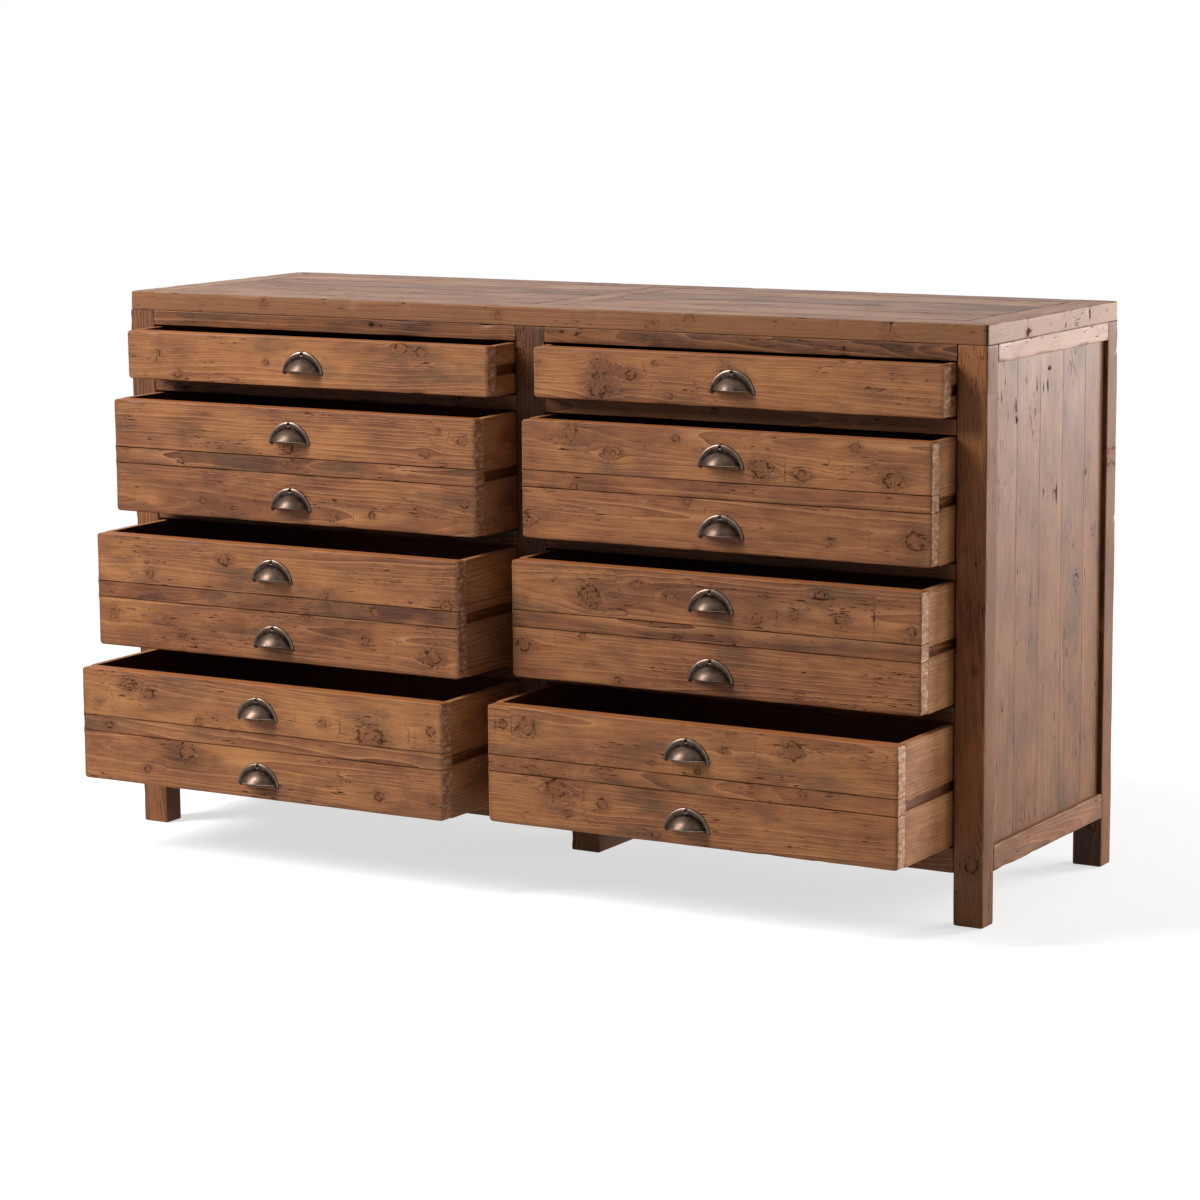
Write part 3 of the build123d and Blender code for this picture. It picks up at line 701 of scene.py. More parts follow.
def waxed_surface(add, at, colour):
    """Relief and shine: late wood up, cracks and pits down, torn ends rough."""
    height = add("Math", at["late"], 0.5, add("Math", at["fibre"], 0.5, **TIMES), **TIMES_PLUS)
    hollow = add("Math", at["crack"], at["pit"], **MOST)
    height = add("Math", hollow, -2.2, height, **TIMES_PLUS)
    torn = add("Math", at["splinter"], at["end"], **TIMES)
    height = add("Math", torn, 3.0, height, **TIMES_PLUS)
    bump = add("Bump", named={"Height": height, "Strength": 0.5, "Distance": 0.0006})
    dull = add("Math", at["stain"], -0.25, WAX_ROUGHNESS + 0.125, **TIMES_PLUS)
    rubbed = add("MapRange", at["edge"], 0.12, 0.0, 0.0, 0.14)
    dull = add("Math", dull, rubbed, **PLUS)
    dark = hollow
    for key in ("blot", "gap", "outline"):
        dark = add("Math", dark, at[key], **MOST)
    dull = add("Math", dark, 0.2, dull, **TIMES_PLUS)
    shine = add("MapRange", dark, 0.0, 0.8, 0.5, 0.03)
    shader = add("BsdfPrincipled", named={"Base Color": colour, "Roughness": dull, "Normal": bump,
                                          "IOR": WAX_IOR, "Specular IOR Level": shine})
    add("OutputMaterial", shader)


def pine(name, pale, body, deep, ring=5.5, lines=0.6, patch=1.4, dirt=0.6, cracks=0.5,
         grime=0.35, rub=0.3, seams=0.4, reach=0.075, flecks=0.0, worn_edge="#8a5222"):
    """Old stained and waxed pine. Ring is the mean width of a year's growth in millimetres."""
    material, add = new_material(name)
    at = wood_fields(add)
    knot_shapes(add, at)
    growth_rings(add, at, ring)
    colour = stained_colour(add, at, pale, body, deep, patch)
    layers = (*stain_layers(add, at, lines, dirt), *knot_layers(add, at),
              *crack_layers(add, at, cracks),
              *edge_layers(add, at, grime, rub, seams, reach, flecks, worn_edge))
    for share, over in layers:
        over = linear(over) if isinstance(over, str) else over
        colour = add("Mix", share, colour, over, **RGBA)
    waxed_surface(add, at, colour)
    print(name, len(material.node_tree.nodes), "nodes")
    return material


looks["front_pine"] = pine(
    "stained_waxed_pine_fronts", "#a46e41", "#825131", "#4a2818", lines=0.45, cracks=0.85,
    rub=0.7, seams=0.85, flecks=0.7, worn_edge="#96582a")
looks["frame_pine"] = pine(
    "stained_waxed_pine_frame", "#9b643a", "#7a4a2a", "#3c2213", ring=4.0, lines=0.35, dirt=0.4,
    cracks=0.8)
looks["plank_pine"] = pine(
    "stained_waxed_pine_planks", "#936238", "#75492a", "#412512", ring=5.0, lines=0.4, patch=1.1,
    dirt=0.2, cracks=0.9, seams=0.1)
looks["top_pine"] = pine(
    "stained_waxed_pine_top", "#906646", "#724c35", "#3d261a", ring=5.0, lines=0.45, patch=1.0,
    dirt=0.2, cracks=0.9, seams=0.85, reach=0.13)
looks["box_pine"] = pine(
    "waxed_pine_drawer_sides", "#c18c5e", "#9e6a43", "#6c4126", ring=4.0, dirt=0.15, cracks=0.2,
    grime=0.2, seams=0.1)

# %% [markdown]
# ## Runners
#
# The runners are plain planed strips of beech, hidden behind the drawers. Their CAD solids have
# the right shape, so they only get a wood: close straight grain along the strip and short
# darker rays, worked out from the place in the chest because a CAD solid has no board fields.

# %% Planed beech
def planed_beech(name):
    """Straight close grain along Y: a noise drawn out nearly forty times, and shorter rays."""
    material, add = new_material(name)
    place = add("TexCoord").outputs["Object"]
    grain, ray, cloud = (
        add("TexNoise", add("VectorMath", place, per_metre, **TIMES), 1.0, 3.0, 0.6)
        for per_metre in ((520.0, 14.0, 520.0), (380.0, 120.0, 380.0), (9.0, 4.0, 9.0)))
    level = add("Math", cloud, 0.4, add("Math", grain, 0.6, **TIMES), **TIMES_PLUS)
    level = add("MapRange", level, 0.35, 0.65, **SMOOTH)
    colour = add("Mix", level, linear("#6f4526"), linear("#a47148"), **RGBA)
    dash = add("MapRange", ray, 0.6, 0.7, 0.0, 0.5, **SMOOTH)
    colour = add("Mix", dash, colour, linear("#573218"), **RGBA)
    bump = add("Bump", named={"Height": grain, "Strength": 0.3, "Distance": 0.0004})
    rough = add("MapRange", cloud, 0.3, 0.7, 0.46, 0.6)
    shader = add("BsdfPrincipled", named={"Base Color": colour, "Roughness": rough,
                                          "Normal": bump, "IOR": 1.45})
    add("OutputMaterial", shader)
    return material


runner_wood = planed_beech("planed_beech_runners")
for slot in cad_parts["drawer_runners"].material_slots:
    slot.material = runner_wood
print("runner slots", len(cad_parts["drawer_runners"].material_slots))

# %% [markdown]
# ## Sizes shared with the CAD part
#
# Only the heights and depths that a board needs are repeated here; whatever a single CAD node
# already says is read from its box instead. A pair of levels is the lowest and the highest height,
# and the rows of drawers count from the top.

# %% Sizes
half_width, half_depth = 800.0, 252.5
post_width, post_depth, half_centre = 50.0, 40.0, 27.0
post_inner, rail_inner = half_width - post_width, half_depth - post_depth
outer_face = half_width - 0.6
tongue, rail_thickness, side_rail_thickness = 5.0, 30.0, 25.0
plank_pitch, plank_out, plank_thickness = 88.0, half_width - 8.0, 14.0
carcass_top, chest_top, top_frame_width = 893.0, 924.0, 60.0
field_x, field_y = half_width - top_frame_width, half_depth - top_frame_width
rail_levels = ((316.0, 341.0), (536.0, 561.0), (756.0, 781.0))
top_rail = (868.0, 893.0)
bottom_rail = (82.0, 121.0)
row_levels = {1: (784.0, 865.0), 2: (564.0, 753.0), 3: (344.0, 533.0), 4: (124.0, 313.0)}
open_distance = {
    ("left", 1): 79, ("left", 2): 120, ("left", 3): 177, ("left", 4): 227,
    ("right", 1): 39, ("right", 2): 77, ("right", 3): 111, ("right", 4): 188,
}
front_spans = {"left": (-747.0, -30.0), "right": (30.0, 747.0)}


def box_of(node_name):
    """Lowest and highest corner of a CAD node in millimetres."""
    low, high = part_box(node_name)
    return np.array(low) / MM, np.array(high) / MM


print("cad box of a post", *(corner.round(1) for corner in box_of("post_front_left")))

# %% [markdown]
# ## Posts and the centre foot
#
# The posts run down into the legs. Each is one squared length with rounded arrises. The stain came
# out paler on some than on others, and about the same on the outer faces of all. The centre front
# post is made darker still: painted shade from the open drawers beside it.

# %% Posts
outer_tone = 0.1
for number, (name, face, tone) in enumerate((
    ("post_front_left", "-y", 0.1), ("post_front_right", "-y", 0.65),
    # The centre front post's tone of -0.6 is painted shade from the open drawers on both sides.
    ("post_front_centre", "-y", -0.6), ("post_back_left", "+y", 0.2),
    ("post_back_right", "+y", -0.2), ("post_back_centre", "+y", 0.0),
)):
    low, high = box_of(name)
    worn_ease = (2.6, 2.6, 1.2) if "centre" not in name else (1.4, 1.4, 0.4)
    part = board(low, high, "z", face, seed=31 + 7 * number, ease=worn_ease, back=2.4, ragged=0.5,
                 nicks=5, knot_chance=1.6, tone=tone)
    part["tone"][np.abs(part["points"][:, 0]) > MM * outer_face] = outer_tone
    piece(name + "_timber", [part], name, "frame_pine")

# %% Foot and bearer
low, high = box_of("centre_foot")
part = board(low, high, "z", "-y", seed=77, ease=(2.6, 2.6, 1.2), back=2.4, ragged=0.6, nicks=6)
piece("centre_foot_timber", [part], "centre_foot", "frame_pine")
low, high = box_of("base_bearer")
part = board(low, high, "y", "-z", seed=78, step=14)
piece("base_bearer_timber", [part], "base_bearer", "frame_pine")

# %% [markdown]
# ## Rails
#
# The rails between the drawers are level with the posts. The side rails carry the planks in a
# groove and are knocked about along their lower edges.

# %% Front rails
def front_rail(x0, x1, low, high, seed, **marks):
    """A rail level with the front faces of the posts."""
    return board((x0, -half_depth, low), (x1, -half_depth + rail_thickness, high), "x", "-y",
                 seed=seed, ease=(1.6, 1.6, 0.3), ragged=0.4, nicks=3, **marks)


both = ((-post_inner, -half_centre), (half_centre, post_inner))
parts = [front_rail(x0, x1, *level, seed=200 + 10 * i + j)
         for i, level in enumerate(rail_levels) for j, (x0, x1) in enumerate(both)]
piece("front_rail_timbers", parts, "front_rails", "frame_pine")
spots = (((-305, 884, 6, 4, 1.4), (-285, 883, 5, 2, 1.0), (-622, 880, 14, 4, 0.6)),
         ((60, 886, 8, 4, 0.9), (88, 884, 5, 6, 0.9), (560, 880, 9, 4, 0.9)))
parts = [front_rail(x0, x1, *top_rail, seed=240 + j, smudges=spots[j])
         for j, (x0, x1) in enumerate(both)]
piece("front_top_rail_timbers", parts, "front_top_rails", "frame_pine")
parts = [front_rail(-post_inner, post_inner, *bottom_rail, seed=250)]
piece("front_bottom_rail_timber", parts, "front_bottom_rail", "frame_pine")

# %% Side rails
rail_chips = ((-168, 82, 16, 5, 2.0), (90, 123, 14, 4, 1.6))
# Tone 1.35 makes the upper side rail paler and adds part of the pale grey painted sheen: painted
# light on the top of the side.
side_rails = ((82, 123, 300, rail_chips, 0.6), (864, 893, 303, (), 1.35))
sides = ((-1, "left", "-x"), (1, "right", "+x"))
for side, name, face in sides:
    x = sorted((side * (half_width - side_rail_thickness), side * half_width))
    parts = [board((x[0], -rail_inner, low), (x[1], rail_inner, high), "y", face, seed=seed + side,
                   ease=(1.6, 1.6, 0.3), ragged=0.6, nicks=5, chips=chips, tone=tone, knots=())
             for low, high, seed, chips, tone in side_rails]
    piece(f"side_rail_timbers_{name}", parts, f"side_rails_{name}", "frame_pine")

# %% [markdown]
# ## Side planks
#
# Five upright boards fill each side. They were cut from the same stock and finished together, so
# they differ little and their seams hardly show. Knots and dark streaks are placed where the real
# side has them.

# %% Side planks
side_knots = (((-128, 790, 6), (-110, 450, 5)), ((-8, 798, 6), (5, 230, 6)), ((20, 640, 5),),
              ((112, 490, 8), (95, 300, 5)), ((180, 560, 6),))
side_smudges = (
    (18, 700, 60, 8, 0.5), (30, 560, 90, 6, 0.4), (-129, 790, 16, 3.5, 1.0),
    (-126, 768, 6, 5, 1.0), (-9, 812, 18, 4, 1.0), (-2, 838, 6, 8, 0.9), (60, 770, 70, 6, 0.5),
    (112, 470, 9, 7, 0.6), (30, 640, 22, 3.5, 0.9), (-60, 620, 5, 4, 0.7), (70, 690, 14, 3, 0.8))
plank_low, plank_high = side_rails[0][1] - tongue, side_rails[1][0] + tongue
side_gap = 0.1
for side, name, face in sides:
    x = sorted((side * (plank_out - plank_thickness), side * plank_out))
    parts = []
    for number, knots in enumerate(side_knots):
        y0 = -rail_inner + number * plank_pitch + (side_gap if number else -tongue)
        y1 = min(-rail_inner + (number + 1) * plank_pitch - side_gap, rail_inner + tongue)
        parts.append(board((x[0], y0, plank_low), (x[1], y1, plank_high), "z", face,
                           seed=320 + number + 8 * side, ease=(0.4, 0.4, 0.4), ragged=0.2,
                           joints="lhe", step=4.0 if side > 0 else 6.0,
                           tone=0.5 + 0.1 * (-1) ** number,
                           knots=[(z, y, r) for y, z, r in knots],
                           smudges=[(z, y, lz, ly, s) for y, z, lz, ly, s in side_smudges]))
    piece(f"side_plank_boards_{name}", parts, f"side_planks_{name}", "plank_pine")

# %% [markdown]
# ## The top
#
# Four mitred boards frame two fields of lengthwise planks with a cross board between them. The
# outer boards have old checks and a black star knot on their edges. The left and right sides of the
# top carry a pale grey painted sheen.

# %% Frame of the top
top_marks = {
    "front": {
        "chips": ((-345, -252, 12, 4, 2.0), (-240, -252, 10, 3, 1.4), (638, -252, 14, 4, 1.6),
                  (-700, -252, 12, 3, 1.2)),
        "knots": ((222, 22, 7), (293, 9, 6), (638, 20, 8), (-60, 16, 5), (-520, 12, 6)),
        "smudges": ((-345, 27, 14, 4, 0.5), (-240, 3, 12, 2, 0.5), (430, 6, 24, 2, 0.6),
                    (640, 8, 3, 8, 0.7), (-650, 20, 14, 3, 0.45)),
        "on_edge": True, "step": 3.0, "tone": 0.75},
    "back": {"step": 5.0, "tone": 0.5},
    "left": {"step": 5.0, "tone": 0.8},
    "right": {
        "chips": ((-106, 800, 5, 6, 1.0), (136, 800, 9, 5, 1.4)),
        "knots": ((-106, 23, 6),),
        "smudges": ((-106, 22, 4, 8, 1.3), (-100, 21, 10, 3, 1.3), (136, 13, 4, 9, 1.3),
                    (40, 23, 2.5, 6, 1.3), (85, 26, 2.5, 4, 1.1), (34, 6, 3, 2, 1.0),
                    (205, 12, 3, 3, 1.0)),
        "on_edge": True, "step": 3.0, "tone": 1.0},
}
top_corner, painted_sheen_tone = 6.0, 2.0
for number, (name, along, face_low, face_high, mitre) in enumerate((
    ("front", "x", (-half_width, -half_depth), (half_width, -field_y), (0, top_frame_width)),
    ("back", "x", (-half_width, field_y), (half_width, half_depth), (top_frame_width, 0)),
    ("left", "y", (-half_width, -half_depth), (-field_x, half_depth), (0, top_frame_width)),
    ("right", "y", (field_x, -half_depth), (half_width, half_depth), (top_frame_width, 0)),
)):
    outer_low = mitre[0] == 0
    part = board((*face_low, carcass_top), (*face_high, chest_top), along, "+z",
                 seed=404 + 3 * number, ease=(2.6, 0.5, 0.5) if outer_low else (0.5, 2.6, 0.5),
                 back=1.5, ragged=0.5, mitre=mitre, nicks=6, joints="he" if outer_low else "le",
                 **top_marks[name])
    part["points"] = MM * round_corners(part["points"] / MM, (-half_width, -half_depth),
                                        (half_width, half_depth), (top_corner, top_corner))
    # Tone 2 paints the pale grey sheen on the left and right sides of the top.
    part["tone"][np.abs(part["points"][:, 0]) > MM * outer_face] = painted_sheen_tone
    piece(f"top_{name}_timber", [part], f"top_{name}_board", "top_pine")

# %% Planks of the top
part = board((-half_centre, -field_y, carcass_top), (half_centre, field_y, chest_top), "y", "+z",
             seed=411, ease=(0.7, 0.7, 0.5), ragged=0.5, joints="lhe")
piece("top_cross_timber", [part], "top_cross_board", "top_pine")
gap, top_plank_thickness, top_plank_count = 0.2, 20.0, 4
span = 2 * field_y / top_plank_count
for side, name, _ in sides:
    x = sorted((side * (half_centre + gap), side * (field_x - gap)))
    parts = [board((x[0], -field_y + gap + span * n, chest_top - top_plank_thickness),
                   (x[1], -field_y - gap + span * (n + 1), chest_top), "x", "+z",
                   seed=420 + n + 8 * side, ease=(0.6, 0.6, 0.4), ragged=0.4, joints="lhe")
             for n in range(top_plank_count)]
    piece(f"top_plank_boards_{name}", parts, f"top_planks_{name}", "top_pine")

# %% [markdown]
# ## Back and partition
#
# Plain upright boards, and two rails across the back. The drawers hide the partition.

# %% Back
parts, back_out, back_count = [], half_depth - 8.0, 8
plank_ease = {"ease": (0.9, 0.9, 0.4), "joints": "lhe"}
span = (post_inner - half_centre) / back_count
for side in (-1, 1):
    for number in range(back_count):
        x0 = half_centre + number * span + gap - (tongue if number == 0 else 0)
        x1 = half_centre + (number + 1) * span - gap + (tongue if number == back_count - 1 else 0)
        x = sorted((side * x0, side * x1))
        parts.append(board((x[0], back_out - plank_thickness, bottom_rail[1] - tongue),
                           (x[1], back_out, top_rail[0] + tongue), "z", "+y",
                           seed=500 + number + 9 * side, step=12, **plank_ease))
piece("back_plank_boards", parts, "back_planks", "plank_pine")
low, high = box_of("back_rails")
parts = [board((-post_inner, low[1], z0), (post_inner, high[1], z1), "x", "+y", seed=520 + int(z0),
               step=9, ease=(1.5, 1.5, 0.3), nicks=3) for z0, z1 in (bottom_rail, top_rail)]
piece("back_rail_timbers", parts, "back_rails", "frame_pine")

# %% Partition
low, high = box_of("centre_partition")
partition_count = 5
span = (high[1] - low[1]) / partition_count
parts = [board((low[0], low[1] + n * span + gap, low[2]),
               (high[0], low[1] + (n + 1) * span - gap, high[2]), "z", "+x", seed=540 + n, step=20,
               **plank_ease) for n in range(partition_count)]
piece("partition_boards", parts, "centre_partition", "plank_pine")

# %% [markdown]
# ## Drawer fronts
#
# A deep front is three boards glued edge to edge, with the narrow one in the middle. Its marks
# are placed where the real one has them: knots as (right, down, radius) and stains as (right,
# down, half length, half height, strength), in millimetres from the front's upper left corner.

# %% Knots of the fronts
front_knots = {
    ("left", 1): ((105, 70, 5), (285, 42, 4), (553, 8, 9), (590, 14, 7)),
    ("right", 1): ((128, 26, 12), (120, 62, 12), (180, 38, 7), (222, 17, 4), (248, 68, 5),
                   (352, 30, 10), (378, 34, 6)),
    ("left", 2): ((355, 65, 9), (622, 58, 6), (648, 23, 4), (693, 36, 7), (137, 97, 5),
                  (348, 90, 4), (181, 162, 5), (444, 173, 6), (518, 166, 5), (696, 136, 6)),
    ("right", 2): ((92, 16, 10), (162, 46, 9), (430, 56, 12), (500, 62, 8), (652, 62, 11),
                   (589, 14, 7), (280, 16, 5), (96, 103, 5), (300, 113, 5), (363, 135, 5),
                   (548, 160, 6), (690, 150, 13), (8, 160, 10)),
    ("left", 3): ((263, 28, 9), (111, 63, 6), (463, 73, 4), (33, 135, 8), (426, 110, 5),
                  (144, 138, 5), (174, 158, 6), (541, 141, 6), (668, 158, 12), (696, 72, 9),
                  (560, 92, 6)),
    ("right", 3): ((145, 47, 14), (230, 24, 6), (289, 40, 7), (441, 61, 7), (504, 50, 6),
                   (548, 17, 7), (585, 50, 9), (700, 61, 7), (22, 135, 10), (130, 113, 5),
                   (193, 180, 6)),
    ("left", 4): ((100, 22, 10), (33, 57, 5), (141, 35, 7), (241, 72, 6), (488, 52, 6),
                  (380, 36, 6), (582, 66, 20), (696, 46, 7), (56, 94, 5), (215, 124, 13),
                  (133, 161, 5), (596, 161, 7), (696, 157, 6)),
    ("right", 4): ((30, 31, 6), (72, 31, 13), (426, 35, 5), (544, 24, 12), (378, 72, 5),
                   (296, 66, 4), (559, 87, 5), (126, 124, 14), (209, 139, 7), (147, 162, 5),
                   (304, 179, 5)),
}
print("knots on the fronts", sum(len(knots) for knots in front_knots.values()))

# %% Stains of the fronts
front_smudges = {
    ("left", 1): ((66, 40, 16, 30, 0.6), (480, 65, 14, 12, 0.4), (585, 65, 14, 12, 0.4)),
    ("right", 1): ((115, 44, 18, 34, 0.55), (8, 24, 12, 5, 0.8), (8, 44, 10, 4, 0.7),
                   (385, 34, 14, 5, 0.8), (165, 62, 18, 3, 0.7), (690, 24, 8, 4, 0.8),
                   (692, 58, 8, 8, 0.6)),
    ("left", 2): ((150, 40, 120, 16, 0.3), (560, 20, 60, 14, 0.3)),
    ("right", 2): ((130, 22, 30, 7, 0.5), (550, 155, 60, 22, 0.4), (480, 150, 30, 14, 0.4),
                   (700, 150, 12, 18, 0.5), (20, 60, 40, 2, 0.6)),
    ("left", 3): ((504, 40, 34, 26, 0.45), (330, 56, 40, 16, 0.25), (668, 165, 26, 8, 0.5),
                  (240, 110, 12, 2, 0.5), (445, 104, 30, 3, 0.4)),
    ("right", 3): ((638, 46, 3, 32, 0.8), (145, 47, 26, 22, 0.5)),
    ("left", 4): ((600, 70, 22, 18, 0.6), (530, 142, 30, 4, 0.7), (112, 26, 26, 6, 0.4)),
    ("right", 4): ((14, 31, 3, 22, 0.7), (85, 31, 4, 20, 0.7), (544, 24, 20, 16, 0.4)),
}
print("stains on the fronts", sum(len(stains) for stains in front_smudges.values()))

# %% Front boards
front_tones = {("left", 1): 0.65, ("left", 2): 0.35, ("left", 3): 0.45, ("left", 4): 0.65,
               ("right", 1): 0.55, ("right", 2): 0.5, ("right", 3): 0.45, ("right", 4): 0.65}
board_tones = (0.08, -0.3, 0.0)
seam_depths, half_seam, knot_reach = (80.0, 107.0), 0.15, 4
front_thickness, corner_round = 25.0, 6.0


def front_boards(column, row, seed):
    """The boards of one front, with the marks that lie on each and a dark line at its right end."""
    x0, x1 = front_spans[column]
    low, high = row_levels[row]
    y0 = -half_depth - open_distance[column, row]
    cuts = [high, low] if row == 1 else [high, high - seam_depths[0], high - seam_depths[1], low]
    smudges = [(x0 + a, high - t, la, lt, s) for a, t, la, lt, s in front_smudges[column, row]]
    # A dark line down the right end of every front: painted shade on the side away from the key
    # light.
    smudges.append((x1 - 3, (low + high) / 2, 2.2, 200, 0.5))
    parts = []
    for number, (top, bottom) in enumerate(zip(cuts[:-1], cuts[1:])):
        first, last = number == 0, number == len(cuts) - 2
        z0, z1 = bottom + (0 if last else half_seam), top - (0 if first else half_seam)
        knots = [(x0 + a, high - t, r) for a, t, r in front_knots[column, row]
                 if z0 - knot_reach < high - t < z1 + knot_reach]
        parts.append(board(
            (x0, y0, z0), (x1, y0 + front_thickness, z1), "x", "-y", seed=seed + number, step=4.0,
            ease=(2.4 if last else 0.5, 1.9 if first else 0.5, 2.6), ragged=0.4, knots=knots,
            nicks=3, smudges=smudges, ends=1.0,
            joints=("" if last else "l") + ("" if first else "h"),
            corners=(corner_round if last else 0, corner_round if first else 0),
            tone=front_tones[column, row] + board_tones[number],
        ))
    return parts


print("boards of a deep front", len(front_boards("left", 2, 1)))

# %% [markdown]
# ## Drawer boxes
#
# Each side has a groove that its runner slides in. The groove stops short of the front, so a side
# is made here of a strip above it, a strip below it, the thin wood behind it and its closed end.
# The inside of a drawer and the floor of a groove get a darker tone, and the inside a faint smudge:
# both are painted shade.

# %% Drawer sides
side_thickness = 12.0
groove_half, groove_depth, groove_stop = 8.5, 6.0, 2.4
# A darker tone and a smudge of painted shade for the inside of a drawer and the floor of a groove.
painted_shade_tone, painted_shade_smudge = -0.5, 0.35


def drawer_side(outer, inward, y0, y1, low, high, middle, seed):
    """A drawer side in four parts round its stopped groove: above, below, behind it and its end."""
    inner = outer + inward * side_thickness
    web = outer + inward * groove_depth
    common = {"along": "y", "face": "-x" if inward > 0 else "+x", "seed": seed, "knots": (),
              "step": 9, "tone": 0.6}
    x = sorted((outer, inner))
    upper = board((x[0], y0, middle + groove_half), (x[1], y1, high),
                  ease=(0.15, 1.2, 0.3), **common)
    lower = board((x[0], y0, low), (x[1], y1, middle - groove_half),
                  ease=(1.2, 0.15, 0.3), **common)
    x = sorted((web, inner))
    # The wood behind the groove, whose face is the groove's floor, is darkened as painted shade.
    thin = board((x[0], y0, middle - groove_half), (x[1], y1, middle + groove_half),
                 ease=(0.1, 0.1, 0.1), **{**common, "tone": painted_shade_tone})
    x = sorted((outer, web))
    stop = board((x[0], y0, middle - groove_half), (x[1], y0 + groove_stop, middle + groove_half),
                 ease=(0.1, 0.1, 0.1), **common)
    return [upper, lower, thin, stop]


print("wood behind the groove", side_thickness - groove_depth, "mm")

# %% Drawers
drawer_length = 460.0
back_in, back_setback, back_drop = 8.0, 8.0, 3.0
panel_in, panel_front, panel_low, panel_high = 7.2, 20.2, 10.0, 16.0
inner_face = side_thickness - 0.5
for index, ((column, row), opened) in enumerate(open_distance.items()):
    drawer = f"drawer_{column}_{row}"
    x0, x1 = front_spans[column]
    low, high = row_levels[row]
    y0 = -half_depth - opened
    end_y = y0 + drawer_length
    seed = 600 + 10 * index
    parts = front_boards(column, row, seed)
    piece(f"{drawer}_front_boards", parts, f"{drawer}_front", "front_pine", drawer)
    middle = (low + high) / 2
    parts = []
    for number, (outer, inward) in enumerate(((x0, 1), (x1, -1))):
        parts += drawer_side(outer, inward, y0 + front_thickness, end_y, low, high, middle,
                             seed + 100 + number)
    back_y = end_y - back_setback
    parts.append(board((x0 + back_in, back_y - side_thickness, low + panel_high + gap),
                       (x1 - back_in, back_y, high - back_drop), "x", "-y", seed=seed + 102,
                       step=14, ease=(0.5, 1.2, 0.3)))
    panel = board((x0 + panel_in, y0 + panel_front, low + panel_low),
                  (x1 - panel_in, end_y, low + panel_high), "x", "+z", seed=seed + 103, step=14,
                  ease=(0.3, 0.3, 0.3))
    # Everything inside the drawer gets a darker tone and a smudge: painted shade.
    for part in [*parts, panel]:
        across = part["points"][:, 0] / MM
        inside = (across > x0 + inner_face) & (across < x1 - inner_face)
        part["tone"][inside] = painted_shade_tone
        part["marks"][inside, 0] = painted_shade_smudge
    piece(f"{drawer}_box_boards", parts, f"{drawer}_box", "box_pine", drawer)
    piece(f"{drawer}_bottom_panel", [panel], f"{drawer}_bottom", "box_pine", drawer)

# %% [markdown]
# ## Cup pulls
#
# A cast cup on an arched flange. The cup is part of a ball whose middle lies below the arch's, so a
# level cut through it is an arc that ends on the drawer's face. Its lower rim has a rolled bead.
# Every point also says how much it is rubbed, from 0 in the hollows to 0.7 on the bead.

# %% Grids
def grid_quads(rows, columns, wrap=False):
    """Quads of a grid of points; its columns may close on themselves."""
    ids = np.arange(rows * columns).reshape(rows, columns)
    if wrap:
        ids = np.hstack([ids, ids[:, :1]])
    return np.stack([ids[:-1, :-1], ids[1:, :-1], ids[1:, 1:], ids[:-1, 1:]], -1).reshape(-1, 4)


def surface(points, rubbed, flip=False, wrap=False):
    """A grid of points with its rubbed share, as a part that the piece function joins."""
    quads = grid_quads(*points.shape[:2], wrap=wrap)
    share = np.broadcast_to(rubbed, points.shape[:2])
    return {"points": points.reshape(-1, 3), "quads": quads[:, ::-1] if flip else quads,
            "rubbed": share.ravel()}


print("quads of a 3 by 4 grid", len(grid_quads(3, 4)))

# %% Cup
ball_radius, ball_back, ball_drop = 40.7, 12.5, 9.5
wall, bead, top_slack = 1.8, 1.45, 0.02
rim_ends, rim_arch = 8.0, 2.4
cup_rise, cup_turn = np.linspace(0, 1, 30)[:, None], np.linspace(-1, 1, 57)[None, :]


def rim_level(across):
    """The rim's height above the arch's centre: rim_ends at the ends, arched by rim_arch."""
    return rim_ends + rim_arch * (1 - across**2)


def cup_shell(inset):
    """Level by level the cup is an arc of the ball: x = r sin(b), y = back - r cos(b)."""
    radius = ball_radius - inset
    rim = rim_level(cup_turn)
    top = math.sqrt(radius**2 - ball_back**2) - ball_drop - top_slack
    z = rim + (top - rim) * np.sin(cup_rise * math.pi / 2)
    level = np.sqrt(radius**2 - (z + ball_drop) ** 2)
    swing = np.arccos(np.clip(ball_back / level, -1, 1)) * cup_turn
    return np.stack([level * np.sin(swing), ball_back - level * np.cos(swing), z], -1)


outer_shell, inner_shell = cup_shell(0.0), cup_shell(wall)
print("cup stands out", -outer_shell[..., 1].min(), "mm")

# %% Bead
def tube(path, radius, around=12):
    """A round bead carried along a path, closed at both ends by rings of no width."""
    side = np.cross(np.gradient(path, axis=0), (0.0, 0.0, 1.0))
    side /= np.linalg.norm(side, axis=1)[:, None]
    path, side = (np.vstack([rows[:1], rows, rows[-1:]]) for rows in (path, side))
    width = np.full(len(path), radius)
    width[[0, -1]] = 0.001
    angle = np.linspace(0, math.tau, around, endpoint=False)[None, :, None]
    ring = side[:, None] * np.cos(angle) + np.array([0.0, 0.0, 1.0]) * np.sin(angle)
    return path[:, None] + ring * width[:, None, None]


bead_path = cup_shell(bead)[0]
print("bead from", bead_path[0].round(1), "to", bead_path[-1].round(1))

# %% [markdown]
# The flange runs from under the cup out to a circle with a radius of 41 mm, and its ears are half
# rounds. Across it the metal crowns: it rises as a quarter ellipse from the outer edge and dips
# towards the cup.

# %% Flange
arch_radius, under_radius, ear_level, ear_radius = 41.0, 36.0, 7.0, 4.5
flange_height, crown_share, arch_stations = 2.4, 0.66, 64


